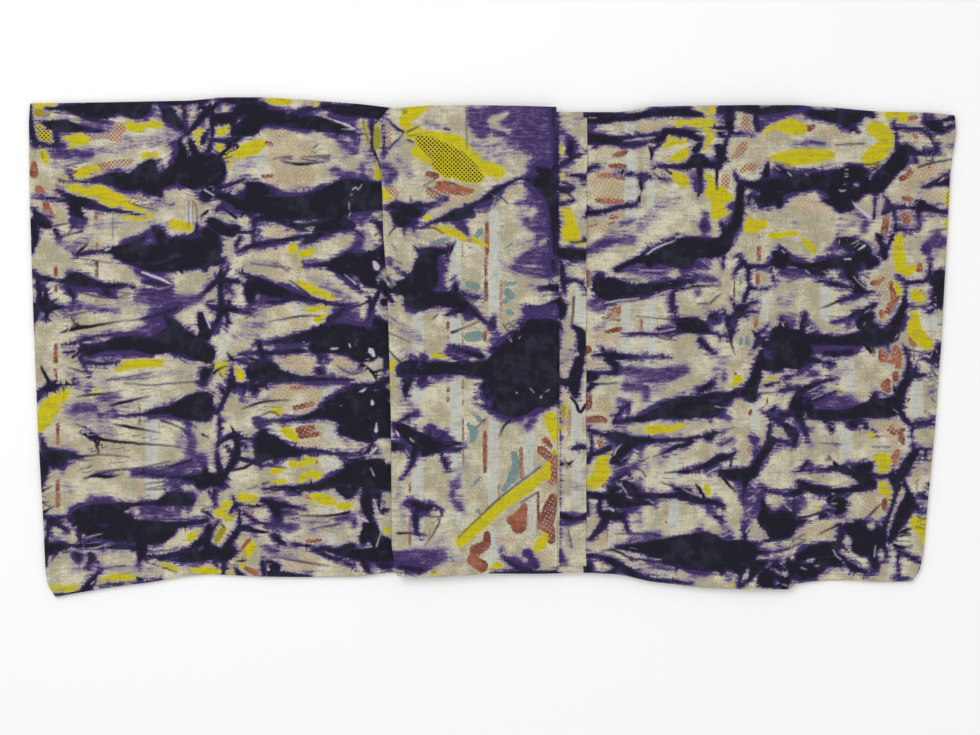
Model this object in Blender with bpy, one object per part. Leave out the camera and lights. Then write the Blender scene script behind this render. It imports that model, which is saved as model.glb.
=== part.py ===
"""Length of tie-dyed indigo cotton, lying folded flat.

The cloth is doubled along its middle, so every level of the stack is two plies, joined
by a lengthwise fold at the front (-Y), with the two selvedges together at the back (+Y).
The doubled strip then runs back and forth. From the top down: a short flap that ends in
the cut edge, the right panel, the left panel, and the full-width base on the table. The
left panel comes back over the base from the left fold and ends under the right panel,
which steps down past that end along a crease. The whole is one sheet.

Metres, +Z up, origin at the middle of the underside. X runs along the strip.
"""

import math
from collections import namedtuple

import bmesh
import bpy
import numpy as np

# Cloth and stack
PLY = 0.0010  # one thickness of the folded cotton
PLY_PITCH = 0.0018  # between the middles of the two plies of a level
LEVEL_PITCH = 0.0038  # between the middles of two levels, one on the other
HALF_LEVEL = (PLY_PITCH + PLY) / 2  # from the middle of a level to its outer faces
FOLD_REACH = LEVEL_PITCH / 2 + HALF_LEVEL  # from a crosswise fold's centre to its outer face
CREASE_HALF_WIDTH = 0.006  # the right panel steps down over twice this
END_STEP_INSET = 0.0024  # the flap's under ply steps out this far behind the front fold

# Segments round a crosswise fold and round the lengthwise one, and where the rows of
# corners lie between front and back
FOLD_STEPS = 5
DOUBLING_STEPS = 3
HEIGHT_SHARES = (0.0, 0.02, 0.06, 0.17, 0.33, 0.50, 0.68, 0.81, 0.88, 0.925, 0.965, 1.0)

# A crosswise line of the strip: where its outer edge lies in X, from front to back
Line = namedtuple("Line", "share x")

FLAP_END = (Line(0.0, 0.0768), Line(1.0, 0.0762))
FLAP_UNDER_END = (Line(0.0, 0.1119), Line(0.5, 0.1113), Line(1.0, 0.1128))
FLAP_FOLD = (
    Line(0.0, -0.1150),
    Line(0.06, -0.1205),
    Line(0.33, -0.1215),
    Line(0.61, -0.1255),
    Line(0.73, -0.1305),
    Line(0.81, -0.1315),
    Line(0.88, -0.1330),
    Line(0.925, -0.1425),
    Line(0.965, -0.1410),
    Line(1.0, -0.1255),
)
CREASE = (Line(0.0, 0.3560), Line(0.47, 0.3640), Line(1.0, 0.3740))
CREASE_LEFT = tuple(Line(row.share, row.x - CREASE_HALF_WIDTH) for row in CREASE)
CREASE_RIGHT = tuple(Line(row.share, row.x + CREASE_HALF_WIDTH) for row in CREASE)
RIGHT_FOLD = (
    Line(0.0, 0.5030),
    Line(0.02, 0.5105),
    Line(0.06, 0.5150),
    Line(0.17, 0.5205),
    Line(0.33, 0.5290),
    Line(0.50, 0.5360),
    Line(0.73, 0.5430),
    Line(0.88, 0.5470),
    Line(0.965, 0.5540),
    Line(1.0, 0.5525),
)
LEFT_FOLD = (
    Line(0.0, -0.5240),
    Line(0.02, -0.5315),
    Line(0.06, -0.5345),
    Line(0.17, -0.5375),
    Line(0.33, -0.5430),
    Line(0.61, -0.5495),
    Line(0.81, -0.5530),
    Line(0.965, -0.5540),
    Line(1.0, -0.5525),
)
HIDDEN_END = (Line(0.0, 0.3420), Line(0.5, 0.3500), Line(1.0, 0.3600))

# Lines inside a level, where its stations change spacing: a little in from the flap's fold,
# and where the right panel comes out from under the flap
IN_FROM_FLAP_FOLD = (Line(0.0, -0.0700), Line(1.0, -0.0700))
BESIDE_FLAP = (Line(0.0, 0.1150), Line(1.0, 0.1150))

# The long edges of a level: back edges of its upper and its under ply, and the front fold
Edge = namedtuple("Edge", "x back under front")

FLAP_EDGES = (
    Edge(-0.1430, 0.2830, 0.2815, -0.2700),
    Edge(-0.1255, 0.2838, 0.2814, -0.2722),
    Edge(-0.0744, 0.2876, 0.2800, -0.2739),
    Edge(-0.0268, 0.2886, 0.2780, -0.2716),
    Edge(0.0327, 0.2874, 0.2757, -0.2662),
    Edge(0.0768, 0.2862, 0.2743, -0.2648),
    Edge(0.1128, 0.2855, 0.2737, -0.2646),
)
RIGHT_EDGES = (
    Edge(-0.1430, 0.2820, 0.2810, -0.2690),
    Edge(0.0560, 0.2812, 0.2802, -0.2701),
    Edge(0.1160, 0.2791, 0.2806, -0.2689),
    Edge(0.1517, 0.2793, 0.2806, -0.2707),
    Edge(0.1874, 0.2868, 0.2850, -0.2790),
    Edge(0.2469, 0.2880, 0.2866, -0.2862),
    Edge(0.3064, 0.2886, 0.2870, -0.2886),
    Edge(0.3540, 0.2886, 0.2868, -0.2886),
    Edge(0.3625, 0.2886, 0.2868, -0.2824),
    Edge(0.4016, 0.2866, 0.2850, -0.2767),
    Edge(0.4611, 0.2812, 0.2798, -0.2802),
    Edge(0.5206, 0.2802, 0.2786, -0.2790),
    Edge(0.5540, 0.2767, 0.2755, -0.2780),
)
BASE_EDGES = (
    Edge(-0.5540, 0.2885, 0.2890, -0.2945),
    Edge(-0.5000, 0.2895, 0.2900, -0.2905),
    Edge(-0.4111, 0.2912, 0.2917, -0.2786),
    Edge(-0.3362, 0.2935, 0.2940, -0.2685),
    Edge(-0.2600, 0.2955, 0.2960, -0.2716),
    Edge(-0.1430, 0.2860, 0.2868, -0.2700),
    Edge(0.1160, 0.2770, 0.2775, -0.2668),
    Edge(0.1874, 0.2830, 0.2836, -0.2768),
    Edge(0.3064, 0.2846, 0.2850, -0.2850),
    Edge(0.3625, 0.2846, 0.2850, -0.2800),
    Edge(0.4611, 0.2780, 0.2785, -0.2776),
    Edge(0.5540, 0.2742, 0.2748, -0.2760),
)
LEFT_EDGES = (
    Edge(-0.5540, 0.2912, 0.2890, -0.2985),
    Edge(-0.5200, 0.2916, 0.2894, -0.2981),
    Edge(-0.5087, 0.2918, 0.2896, -0.2955),
    Edge(-0.4611, 0.2924, 0.2902, -0.2874),
    Edge(-0.4111, 0.2933, 0.2910, -0.2808),
    Edge(-0.3612, 0.2941, 0.2920, -0.2725),
    Edge(-0.3362, 0.2964, 0.2940, -0.2707),
    Edge(-0.3250, 0.2981, 0.2958, -0.2714),
    Edge(-0.2760, 0.2981, 0.2958, -0.2737),
    Edge(-0.2291, 0.2957, 0.2935, -0.2743),
    Edge(-0.1577, 0.2902, 0.2880, -0.2737),
    Edge(-0.1160, 0.2852, 0.2830, -0.2672),
    Edge(0.1160, 0.2760, 0.2745, -0.2640),
    Edge(0.3600, 0.2780, 0.2765, -0.2700),
)

# The strip from the flap's cut end to its hidden end. A panel lies between two lines, at
# one level or stepping from one down to the next. Where the heading turns, a fold joins it.
Panel = namedtuple("Panel", "start end level_from level_to edges steps heads_left")

STRIP = (
    Panel(FLAP_END, IN_FROM_FLAP_FOLD, 3, 3, FLAP_EDGES, 3, True),
    Panel(IN_FROM_FLAP_FOLD, FLAP_FOLD, 3, 3, FLAP_EDGES, 3, True),
    Panel(FLAP_FOLD, IN_FROM_FLAP_FOLD, 2, 2, RIGHT_EDGES, 3, False),
    Panel(IN_FROM_FLAP_FOLD, BESIDE_FLAP, 2, 2, RIGHT_EDGES, 3, False),
    Panel(BESIDE_FLAP, CREASE_LEFT, 2, 2, RIGHT_EDGES, 7, False),
    Panel(CREASE_LEFT, CREASE_RIGHT, 2, 1, RIGHT_EDGES, 2, False),
    Panel(CREASE_RIGHT, RIGHT_FOLD, 1, 1, RIGHT_EDGES, 4, False),
    Panel(RIGHT_FOLD, LEFT_FOLD, 0, 0, BASE_EDGES, 12, True),
    Panel(LEFT_FOLD, IN_FROM_FLAP_FOLD, 1, 1, LEFT_EDGES, 11, False),
    Panel(IN_FROM_FLAP_FOLD, HIDDEN_END, 1, 1, LEFT_EDGES, 4, False),
)
CROSSWISE_FOLDS = (FLAP_FOLD, RIGHT_FOLD, LEFT_FOLD)

# Soft swells and hollows: the stack stands this share of its height taller there
Swell = namedtuple("Swell", "x y reach_x reach_y lift")

SWELLS = (
    Swell(-0.132, 0.245, 0.045, 0.070, 0.26),
    Swell(-0.118, -0.262, 0.050, 0.060, 0.20),
    Swell(-0.115, 0.000, 0.050, 0.200, 0.18),
    Swell(-0.300, 0.285, 0.130, 0.060, 0.60),
    Swell(-0.465, -0.010, 0.060, 0.180, 0.30),
    Swell(-0.330, 0.000, 0.030, 0.260, -0.15),
    Swell(-0.220, -0.120, 0.055, 0.120, 0.25),
    Swell(0.225, 0.090, 0.060, 0.130, 0.20),
    Swell(0.300, -0.270, 0.070, 0.035, 0.35),
    Swell(0.450, 0.020, 0.050, 0.200, 0.35),
    Swell(0.310, 0.275, 0.110, 0.030, 0.30),
)

# Across the strip a point is on ply 1 or 2, or 0 on the round of the front fold. It has a
# share of the way from front to back, a reach past the front, and a distance from the
# middle of the level along the normal.
SectionPoint = namedtuple("SectionPoint", "ply share forward out")

# Along the strip a station is in a panel, or on the fold between two, this share done. It
# has the height of its middle, and the angle of its normal in the XZ plane.
Station = namedtuple("Station", "panel after share height normal")

COLLECTION = "adire_indigo_cloth"
NODE = "folded_cloth"
CLOTH_COLOUR = (0.105, 0.075, 0.190, 1.0)
SMOOTH_UNDER = math.radians(50)


def clear_scene():
    for old in list(bpy.data.objects):
        bpy.data.objects.remove(old, do_unlink=True)


def cloth_material():
    """Indigo-dyed cotton: matt, with no metal in it."""
    material = bpy.data.materials.new("indigo_cotton")
    material.use_nodes = True
    shader = material.node_tree.nodes["Principled BSDF"]
    shader.inputs["Base Color"].default_value = CLOTH_COLOUR
    shader.inputs["Roughness"].default_value = 0.88
    shader.inputs["Metallic"].default_value = 0.0
    material.diffuse_color = CLOTH_COLOUR
    return material


def line_x(line, share):
    return float(np.interp(share, [row.share for row in line], [row.x for row in line]))


def edge_y(edges, column, x):
    return float(np.interp(x, [row.x for row in edges], [getattr(row, column) for row in edges]))


def level_height(level):
    """The middle of a level. The lowest one's underside is at zero."""
    return HALF_LEVEL + level * LEVEL_PITCH


def section_of_doubled_cloth():
    """The closed outline across the strip: round the outer face, and back along the inner."""
    outline = []
    for out in (HALF_LEVEL, HALF_LEVEL - PLY):
        face = [SectionPoint(1, share, 0.0, out) for share in reversed(HEIGHT_SHARES)]
        for step in range(1, DOUBLING_STEPS):
            turn = math.pi * step / DOUBLING_STEPS
            face.append(SectionPoint(0, 0.0, out * math.sin(turn), out * math.cos(turn)))
        face += [SectionPoint(2, share, 0.0, -out) for share in HEIGHT_SHARES]
        outline.append(face)
    outer, inner = outline
    return outer + inner[::-1]


def panel_stations(panel, follows_on):
    """Stations across one panel. Where it follows on flat, the first is the last one's."""
    normal = math.pi / 2 if panel.heads_left else -math.pi / 2
    for step in range(1 if follows_on else 0, panel.steps + 1):
        share = step / panel.steps
        level = panel.level_from + share * (panel.level_to - panel.level_from)
        yield Station(panel, panel, share, level_height(level), normal)


def fold_stations(panel, after):
    """Stations round the half circle that joins two panels, between its two ends."""
    top, bottom = level_height(panel.level_to), level_height(after.level_from)
    normal = math.pi / 2 if panel.heads_left else -math.pi / 2
    anticlockwise = panel.heads_left == (bottom < top)
    for step in range(1, FOLD_STEPS):
        share = step / FOLD_STEPS
        height = (top + bottom) / 2 + (top - bottom) / 2 * math.cos(math.pi * share)
        turned = math.pi * share if anticlockwise else -math.pi * share
        yield Station(panel, after, share, height, normal + turned)


def all_stations():
    rows = list(panel_stations(STRIP[0], False))
    for panel, after in zip(STRIP, STRIP[1:]):
        turns = panel.heads_left != after.heads_left
        if turns:
            rows += fold_stations(panel, after)
        rows += panel_stations(after, not turns)
    return rows


def steps_out(panel, point):
    """Whether a point is on the longer part of the flap's under ply."""
    return panel is STRIP[0] and point.ply == 2 and point.share > 0.0


def x_in_panel(panel, point, share):
    """X of the middle of the level, between the panel's two lines or their folds' centres."""
    start = line_x(FLAP_UNDER_END if steps_out(panel, point) else panel.start, point.share)
    end = line_x(panel.end, point.share)
    onward = -FOLD_REACH if panel.heads_left else FOLD_REACH
    if panel.start in CROSSWISE_FOLDS:
        start += onward
    if panel.end in CROSSWISE_FOLDS:
        end -= onward
    return start + share * (end - start)


def y_in_panel(panel, point, x):
    """Y between the front fold and the back edge of the ply, which ply 1 has uppermost
    where the strip heads left."""
    upper = (point.ply == 1) == panel.heads_left
    front = edge_y(panel.edges, "front", x) + HALF_LEVEL
    back = edge_y(panel.edges, "back" if upper else "under", x)
    if steps_out(panel, point) and point.share == HEIGHT_SHARES[1]:
        return front + END_STEP_INSET
    return front + point.share * (back - front) - point.forward


def swell(x, y):
    rise = 1.0
    for row in SWELLS:
        distance = ((x - row.x) / row.reach_x) ** 2 + ((y - row.y) / row.reach_y) ** 2
        rise += row.lift * math.exp(-distance)
    return rise


def place(station, point):
    """A point of the cloth in space."""
    on_fold = station.panel is not station.after
    x = x_in_panel(station.panel, point, 1.0 if on_fold else station.share)
    y = y_in_panel(station.panel, point, x)
    if on_fold:
        y += station.share * (y_in_panel(station.after, point, x) - y)
        bulge = LEVEL_PITCH / 2 * math.sin(math.pi * station.share)
        x += -bulge if station.panel.heads_left else bulge
    x += point.out * math.cos(station.normal)
    z = station.height + point.out * math.sin(station.normal)
    return x, y, z * swell(x, y)


def folded_sheet():
    """Lofts the doubled section along the strip and closes its two cut ends."""
    section = section_of_doubled_cloth()
    around = len(section)
    bm = bmesh.new()
    rings = [[bm.verts.new(place(row, point)) for point in section] for row in all_stations()]
    for here, there in zip(rings, rings[1:]):
        for index in range(around):
            following = (index + 1) % around
            bm.faces.new((here[index], here[following], there[following], there[index]))
    for ring in (rings[0], rings[-1]):
        for index in range(around // 2 - 1):
            opposite = around - 1 - index
            bm.faces.new((ring[index], ring[index + 1], ring[opposite - 1], ring[opposite]))
    bmesh.ops.recalc_face_normals(bm, faces=bm.faces)
    mesh = bpy.data.meshes.new(NODE)
    bm.to_mesh(mesh)
    bm.free()
    mesh.shade_smooth()
    mesh.set_sharp_from_angle(angle=SMOOTH_UNDER)
    return mesh


def main():
    clear_scene()
    collection = bpy.data.collections.new(COLLECTION)
    bpy.context.scene.collection.children.link(collection)
    cloth = bpy.data.objects.new(NODE, folded_sheet())
    cloth.data.materials.append(cloth_material())
    collection.objects.link(cloth)


main()
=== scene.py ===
"""Adire cloth lying folded flat: the sheet on its folds, with its print and its dye.

Metres, +Z up, X along the folded strip, as in the CAD model. The print and the dye are
charted in chart units of 1.19 mm: x to the right, y from back to front.
"""
import math
from collections import namedtuple

import bpy
import numpy as np
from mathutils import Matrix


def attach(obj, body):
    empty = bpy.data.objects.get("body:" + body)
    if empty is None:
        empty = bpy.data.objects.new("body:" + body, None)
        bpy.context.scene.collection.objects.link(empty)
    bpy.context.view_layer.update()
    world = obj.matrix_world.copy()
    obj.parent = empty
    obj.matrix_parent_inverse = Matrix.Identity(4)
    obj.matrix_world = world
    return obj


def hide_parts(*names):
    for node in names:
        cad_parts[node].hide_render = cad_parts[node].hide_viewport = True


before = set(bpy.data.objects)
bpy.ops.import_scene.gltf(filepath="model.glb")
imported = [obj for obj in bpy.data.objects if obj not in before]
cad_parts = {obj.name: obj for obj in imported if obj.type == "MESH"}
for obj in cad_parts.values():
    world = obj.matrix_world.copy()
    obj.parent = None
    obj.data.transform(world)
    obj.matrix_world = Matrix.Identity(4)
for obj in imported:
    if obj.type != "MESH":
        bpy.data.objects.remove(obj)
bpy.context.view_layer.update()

# The folded sheet
PLY_OUT = 0.0009  # from the middle of a level to the middle of either ply
HALF_LEVEL = 0.0014
LEVEL_PITCH = 0.0038
FOLD_REACH = LEVEL_PITCH / 2 + HALF_LEVEL
CREASE_HALF_WIDTH = 0.006
END_STEP_INSET = 0.0024
FINE = 0.0033  # between corners where the cloth is seen
COARSE = 0.0150  # and where it lies hidden
FOLD_STEPS = 8
DOUBLING_STEPS = 4
PANEL_DEPTH = 0.565  # from the front fold to the selvedges
LEDGE_LENGTH = 0.035
FOLD_ORDER = 0.01  # the front fold's corners are in order from minus this to this
BY_THE_FOLD = [0.006, 0.014]  # shares of a hidden ply's depth with extra corners

# A crosswise line of the strip: the X of its outer edge, from front to back
FLAP_END = ((0.0, 0.0768), (0.5, 0.0770), (1.0, 0.0762))
LEDGE_END = (
    (0.0, 0.1119), (0.05, 0.1108), (0.11, 0.1119), (0.19, 0.1112), (0.26, 0.1120),
    (0.34, 0.1108), (0.43, 0.1117), (0.52, 0.1110), (0.61, 0.1121), (0.68, 0.1112),
    (0.76, 0.1124), (0.84, 0.1114), (0.92, 0.1130), (1.0, 0.1124),
)
FLAP_FOLD = (
    (0.0, -0.1150), (0.06, -0.1205), (0.33, -0.1215), (0.61, -0.1255), (0.73, -0.1305),
    (0.81, -0.1315), (0.88, -0.1330), (0.925, -0.1425), (0.965, -0.1410), (1.0, -0.1255),
)
CREASE = ((0.0, 0.3560), (0.47, 0.3640), (1.0, 0.3740))
CREASE_LEFT = tuple((share, x - CREASE_HALF_WIDTH) for share, x in CREASE)
CREASE_RIGHT = tuple((share, x + CREASE_HALF_WIDTH) for share, x in CREASE)
RIGHT_FOLD = (
    (0.0, 0.5030), (0.02, 0.5105), (0.06, 0.5150), (0.17, 0.5205), (0.33, 0.5290),
    (0.50, 0.5360), (0.73, 0.5430), (0.88, 0.5470), (0.965, 0.5540), (1.0, 0.5525),
)
LEFT_FOLD = (
    (0.0, -0.5240), (0.02, -0.5315), (0.06, -0.5345), (0.17, -0.5375), (0.33, -0.5430),
    (0.61, -0.5495), (0.81, -0.5530), (0.965, -0.5540), (1.0, -0.5525),
)
HIDDEN_END = ((0.0, 0.3420), (0.5, 0.3500), (1.0, 0.3600))
UNDER_FLAP_FOLD = ((0.0, -0.1000), (1.0, -0.1000))
UNDER_LEDGE_END = ((0.0, 0.1050), (1.0, 0.1050))
CROSSWISE_FOLDS = (FLAP_FOLD, RIGHT_FOLD, LEFT_FOLD)

# The long edges of a level: X, back edge of its upper ply, of its under ply, front fold
FLAP_EDGES = (
    (-0.1430, 0.2830, 0.2815, -0.2700), (-0.1255, 0.2838, 0.2814, -0.2722),
    (-0.0744, 0.2876, 0.2800, -0.2739), (-0.0268, 0.2886, 0.2780, -0.2716),
    (0.0327, 0.2874, 0.2757, -0.2662), (0.0768, 0.2862, 0.2743, -0.2648),
    (0.1128, 0.2855, 0.2737, -0.2646),
)
RIGHT_EDGES = (
    (-0.1430, 0.2820, 0.2810, -0.2690), (0.0560, 0.2812, 0.2802, -0.2701),
    (0.1160, 0.2791, 0.2806, -0.2689), (0.1517, 0.2793, 0.2806, -0.2707),
    (0.1874, 0.2868, 0.2850, -0.2790), (0.2469, 0.2880, 0.2866, -0.2862),
    (0.3064, 0.2886, 0.2870, -0.2886), (0.3540, 0.2886, 0.2868, -0.2886),
    (0.3625, 0.2886, 0.2868, -0.2824), (0.4016, 0.2866, 0.2850, -0.2767),
    (0.4611, 0.2812, 0.2798, -0.2802), (0.5206, 0.2802, 0.2786, -0.2790),
    (0.5540, 0.2767, 0.2755, -0.2780),
)
BASE_EDGES = (
    (-0.5540, 0.2885, 0.2890, -0.2945), (-0.5000, 0.2895, 0.2900, -0.2905),
    (-0.4111, 0.2912, 0.2917, -0.2786), (-0.3362, 0.2935, 0.2940, -0.2685),
    (-0.2600, 0.2955, 0.2960, -0.2716), (-0.1430, 0.2860, 0.2868, -0.2700),
    (0.1160, 0.2770, 0.2775, -0.2668), (0.1874, 0.2830, 0.2836, -0.2768),
    (0.3064, 0.2846, 0.2850, -0.2850), (0.3625, 0.2846, 0.2850, -0.2800),
    (0.4611, 0.2780, 0.2785, -0.2776), (0.5540, 0.2742, 0.2748, -0.2760),
)
LEFT_EDGES = (
    (-0.5540, 0.2912, 0.2890, -0.2985), (-0.5200, 0.2916, 0.2894, -0.2981),
    (-0.5087, 0.2918, 0.2896, -0.2955), (-0.4611, 0.2924, 0.2902, -0.2874),
    (-0.4111, 0.2933, 0.2910, -0.2808), (-0.3612, 0.2941, 0.2920, -0.2725),
    (-0.3362, 0.2964, 0.2940, -0.2707), (-0.3250, 0.2981, 0.2958, -0.2714),
    (-0.2760, 0.2981, 0.2958, -0.2737), (-0.2291, 0.2957, 0.2935, -0.2743),
    (-0.1577, 0.2902, 0.2880, -0.2737), (-0.1160, 0.2852, 0.2830, -0.2672),
    (0.1160, 0.2760, 0.2745, -0.2640), (0.3600, 0.2780, 0.2765, -0.2700),
)

# The strip from the flap's cut end on. Seen is the ply that shows, or 0; chart is what
# that stretch is dyed with.
Panel = namedtuple("Panel", "start end level_from level_to edges heads_left seen chart")
STRIP = (
    Panel(FLAP_END, FLAP_FOLD, 3, 3, FLAP_EDGES, True, 1, "flap"),
    Panel(FLAP_FOLD, UNDER_LEDGE_END, 2, 2, RIGHT_EDGES, False, 0, "flap"),
    Panel(UNDER_LEDGE_END, CREASE_LEFT, 2, 2, RIGHT_EDGES, False, 2, "right"),
    Panel(CREASE_LEFT, CREASE_RIGHT, 2, 1, RIGHT_EDGES, False, 2, "right"),
    Panel(CREASE_RIGHT, RIGHT_FOLD, 1, 1, RIGHT_EDGES, False, 2, "right"),
    Panel(RIGHT_FOLD, LEFT_FOLD, 0, 0, BASE_EDGES, True, 0, "base"),
    Panel(LEFT_FOLD, UNDER_FLAP_FOLD, 1, 1, LEFT_EDGES, False, 2, "left"),
    Panel(UNDER_FLAP_FOLD, HIDDEN_END, 1, 1, LEFT_EDGES, False, 0, "flap"),
)

# Soft swells and hollows of the whole stack: X, Y, reach in X and in Y, share of its height
SWELLS = (
    (-0.132, 0.245, 0.045, 0.070, 0.26), (-0.118, -0.262, 0.050, 0.060, 0.20),
    (-0.115, 0.000, 0.050, 0.200, 0.18), (-0.300, 0.285, 0.130, 0.060, 0.60),
    (-0.465, -0.010, 0.060, 0.180, 0.30), (-0.330, 0.000, 0.030, 0.260, -0.15),
    (-0.220, -0.120, 0.055, 0.120, 0.25), (0.225, 0.090, 0.060, 0.130, 0.20),
    (0.300, -0.270, 0.070, 0.035, 0.35), (0.450, 0.020, 0.050, 0.200, 0.35),
    (0.310, 0.275, 0.110, 0.030, 0.30),
)
# Creases pressed into the stack: from X, Y to X, Y, half-width, share of its height
CREASES = (
    (-0.327, 0.290, -0.333, -0.268, 0.0050, -0.050),
    (-0.536, 0.240, -0.524, -0.250, 0.0070, 0.060),
    (-0.455, 0.285, -0.445, -0.280, 0.0045, -0.035),
    (-0.210, 0.285, -0.216, -0.268, 0.0050, 0.040),
    (0.033, 0.285, 0.026, -0.262, 0.0045, 0.035),
    (-0.060, 0.286, -0.066, -0.268, 0.0050, -0.030),
    (0.156, 0.276, 0.142, -0.268, 0.0040, 0.035),
    (0.300, 0.283, 0.292, -0.280, 0.0050, -0.040),
    (0.372, 0.284, 0.355, -0.280, 0.0035, -0.070),
    (0.470, 0.276, 0.440, -0.270, 0.0060, 0.050),
    (-0.545, -0.020, -0.130, -0.012, 0.0060, 0.025),
    (-0.120, 0.020, 0.075, 0.015, 0.0060, -0.020),
    (0.115, 0.000, 0.530, -0.004, 0.0070, 0.030),
)


CREASE_WANDER, CREASE_WANDER_SIZE = 0.004, 0.060
# Unevenness of the whole stack: share of its height, size, squeeze in Y, seed
UNEVEN = ((0.030, 0.055, 1.0, 5), (0.022, 0.024, 1.0, 7), (0.014, 0.011, 0.45, 9))


# Shape
def along(line, share):
    rows = np.array(line)
    return np.interp(share, rows[:, 0], rows[:, 1])


def edge_at(edges, column, x):
    rows = np.array(edges)
    return np.interp(x, rows[:, 0], rows[:, column])


def ripples(x, y, size, seed):
    """Smooth unevenness from -1 to 1, size metres across, the same on each run."""
    grid = np.random.default_rng(seed).uniform(-1.0, 1.0, (64, 64))
    across, up = x / size + 31.0, y / size + 31.0
    column, row = np.floor(across).astype(int), np.floor(up).astype(int)
    across, up = across - column, up - row
    across, up = across * across * (3 - 2 * across), up * up * (3 - 2 * up)
    column, row = column % 63, row % 63
    here = grid[column, row] * (1 - across) + grid[column + 1, row] * across
    beyond = grid[column, row + 1] * (1 - across) + grid[column + 1, row + 1] * across
    return here * (1 - up) + beyond * up


def rise(x, y):
    """How much taller than its own height the stack stands at a place."""
    total = np.ones_like(x)
    for at_x, at_y, reach_x, reach_y, lift in SWELLS:
        total += lift * np.exp(-((x - at_x) / reach_x) ** 2 - ((y - at_y) / reach_y) ** 2)
    for x0, y0, x1, y1, half, lift in CREASES:
        length = math.hypot(x1 - x0, y1 - y0)
        ahead = ((x - x0) * (x1 - x0) + (y - y0) * (y1 - y0)) / length ** 2
        aside = ((x - x0) * (y1 - y0) - (y - y0) * (x1 - x0)) / length
        aside += CREASE_WANDER * ripples(x, y, CREASE_WANDER_SIZE, 3)
        total += lift * np.exp(-(aside / half) ** 2) * ((ahead > 0) & (ahead < 1))
    for lift, size, squeeze, seed in UNEVEN:
        total += lift * ripples(x, squeeze * y, size, seed)
    return total


Column = namedtuple("Column", "ply share forward side order")


def columns(fine_plies, plies=(1, 2)):
    """Corners across the strip: ply 1 from back to front, the front fold, ply 2 to the back."""
    rows = []
    for ply in plies:
        spacing = FINE if ply in fine_plies else COARSE
        count = round(PANEL_DEPTH / spacing)
        shares = [step / count for step in range(count + 1)]
        if ply not in fine_plies:
            shares[1:1] = BY_THE_FOLD
        side = 1.0 if ply == 1 else -1.0
        face = [(ply, share, 0.0, side, -side * (share + FOLD_ORDER)) for share in shares]
        rows += face[::-1] if ply == 1 else face
        if ply == 1 and 2 in plies:
            for step in range(1, DOUBLING_STEPS):
                turn = math.pi * step / DOUBLING_STEPS
                order = 2 * FOLD_ORDER * step / DOUBLING_STEPS - FOLD_ORDER
                rows.append((0, 0.0, PLY_OUT * math.sin(turn), math.cos(turn), order))
    return Column(*np.array(rows).T)


Row = namedtuple("Row", "panel after share height normal columns")


def level_height(level):
    return HALF_LEVEL + level * LEVEL_PITCH


def x_in_panel(panel, column, share):
    start, end = along(panel.start, column.share), along(panel.end, column.share)
    onward = -FOLD_REACH if panel.heads_left else FOLD_REACH
    start = start + onward * (panel.start in CROSSWISE_FOLDS)
    end = end - onward * (panel.end in CROSSWISE_FOLDS)
    return start + share * (end - start)


def y_in_panel(panel, column, x):
    upper = (column.ply == 1) == panel.heads_left
    front = edge_at(panel.edges, 3, x) + HALF_LEVEL
    back = np.where(upper, edge_at(panel.edges, 1, x), edge_at(panel.edges, 2, x))
    return front + column.share * (back - front) - column.forward


def panel_rows(panel, first):
    spacing = FINE if panel.seen else COARSE
    length = abs(along(panel.end, 0.5) - along(panel.start, 0.5))
    count = max(3, round(length / spacing))
    normal = math.pi / 2 if panel.heads_left else -math.pi / 2
    for step in range(0 if first else 1, count + 1):
        share = step / count
        level = panel.level_from + share * (panel.level_to - panel.level_from)
        fine = (1, 2) if panel is STRIP[0] and step < 4 else (panel.seen,)
        yield Row(panel, panel, share, level_height(level), normal, columns(fine))


def fold_rows(panel, after):
    top, bottom = level_height(panel.level_to), level_height(after.level_from)
    normal = math.pi / 2 if panel.heads_left else -math.pi / 2
    anticlockwise = panel.heads_left == (bottom < top)
    for step in range(1, FOLD_STEPS):
        share = step / FOLD_STEPS
        height = (top + bottom) / 2 + (top - bottom) / 2 * math.cos(math.pi * share)
        turned = math.pi * share if anticlockwise else -math.pi * share
        fine = columns((panel.seen or after.seen,))
        yield Row(panel, after, share, height, normal + turned, fine)


def ledge_rows():
    """The under ply of the flap, which reaches further than the flap's cut end."""
    across = columns((2,), (2,))
    across = Column(*(values[1:] for values in across))
    ledge = STRIP[0]._replace(start=LEDGE_END, end=FLAP_END)
    count = round(LEDGE_LENGTH / FINE)
    for step in range(count):
        yield Row(ledge, ledge, step / count, level_height(3), math.pi / 2, across)


def place(row):
    """The corners of one row in space."""
    column = row.columns
    on_fold = row.panel is not row.after
    x = x_in_panel(row.panel, column, 1.0 if on_fold else row.share)
    y = y_in_panel(row.panel, column, x)
    if on_fold:
        y = y + row.share * (y_in_panel(row.after, column, x) - y)
        bulge = LEVEL_PITCH / 2 * math.sin(math.pi * row.share)
        x = x - bulge if row.panel.heads_left else x + bulge
    x = x + PLY_OUT * column.side * math.cos(row.normal)
    z = row.height + PLY_OUT * column.side * math.sin(row.normal)
    return x, y, z * rise(x, y)


def stitch(here, there, orders_here, orders_there):
    """Triangles and quads between two rows of corners, in step across the strip."""
    faces = []
    if len(here) == len(there):
        return list(zip(here, here[1:], there[1:], there))
    near = far = 0
    while near < len(here) - 1 or far < len(there) - 1:
        step_here = far == len(there) - 1 or (
            near < len(here) - 1 and orders_here[near + 1] <= orders_there[far + 1])
        if step_here:
            faces.append((here[near], here[near + 1], there[far]))
            near += 1
        else:
            faces.append((here[near], there[far + 1], there[far]))
            far += 1
    return faces


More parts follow.
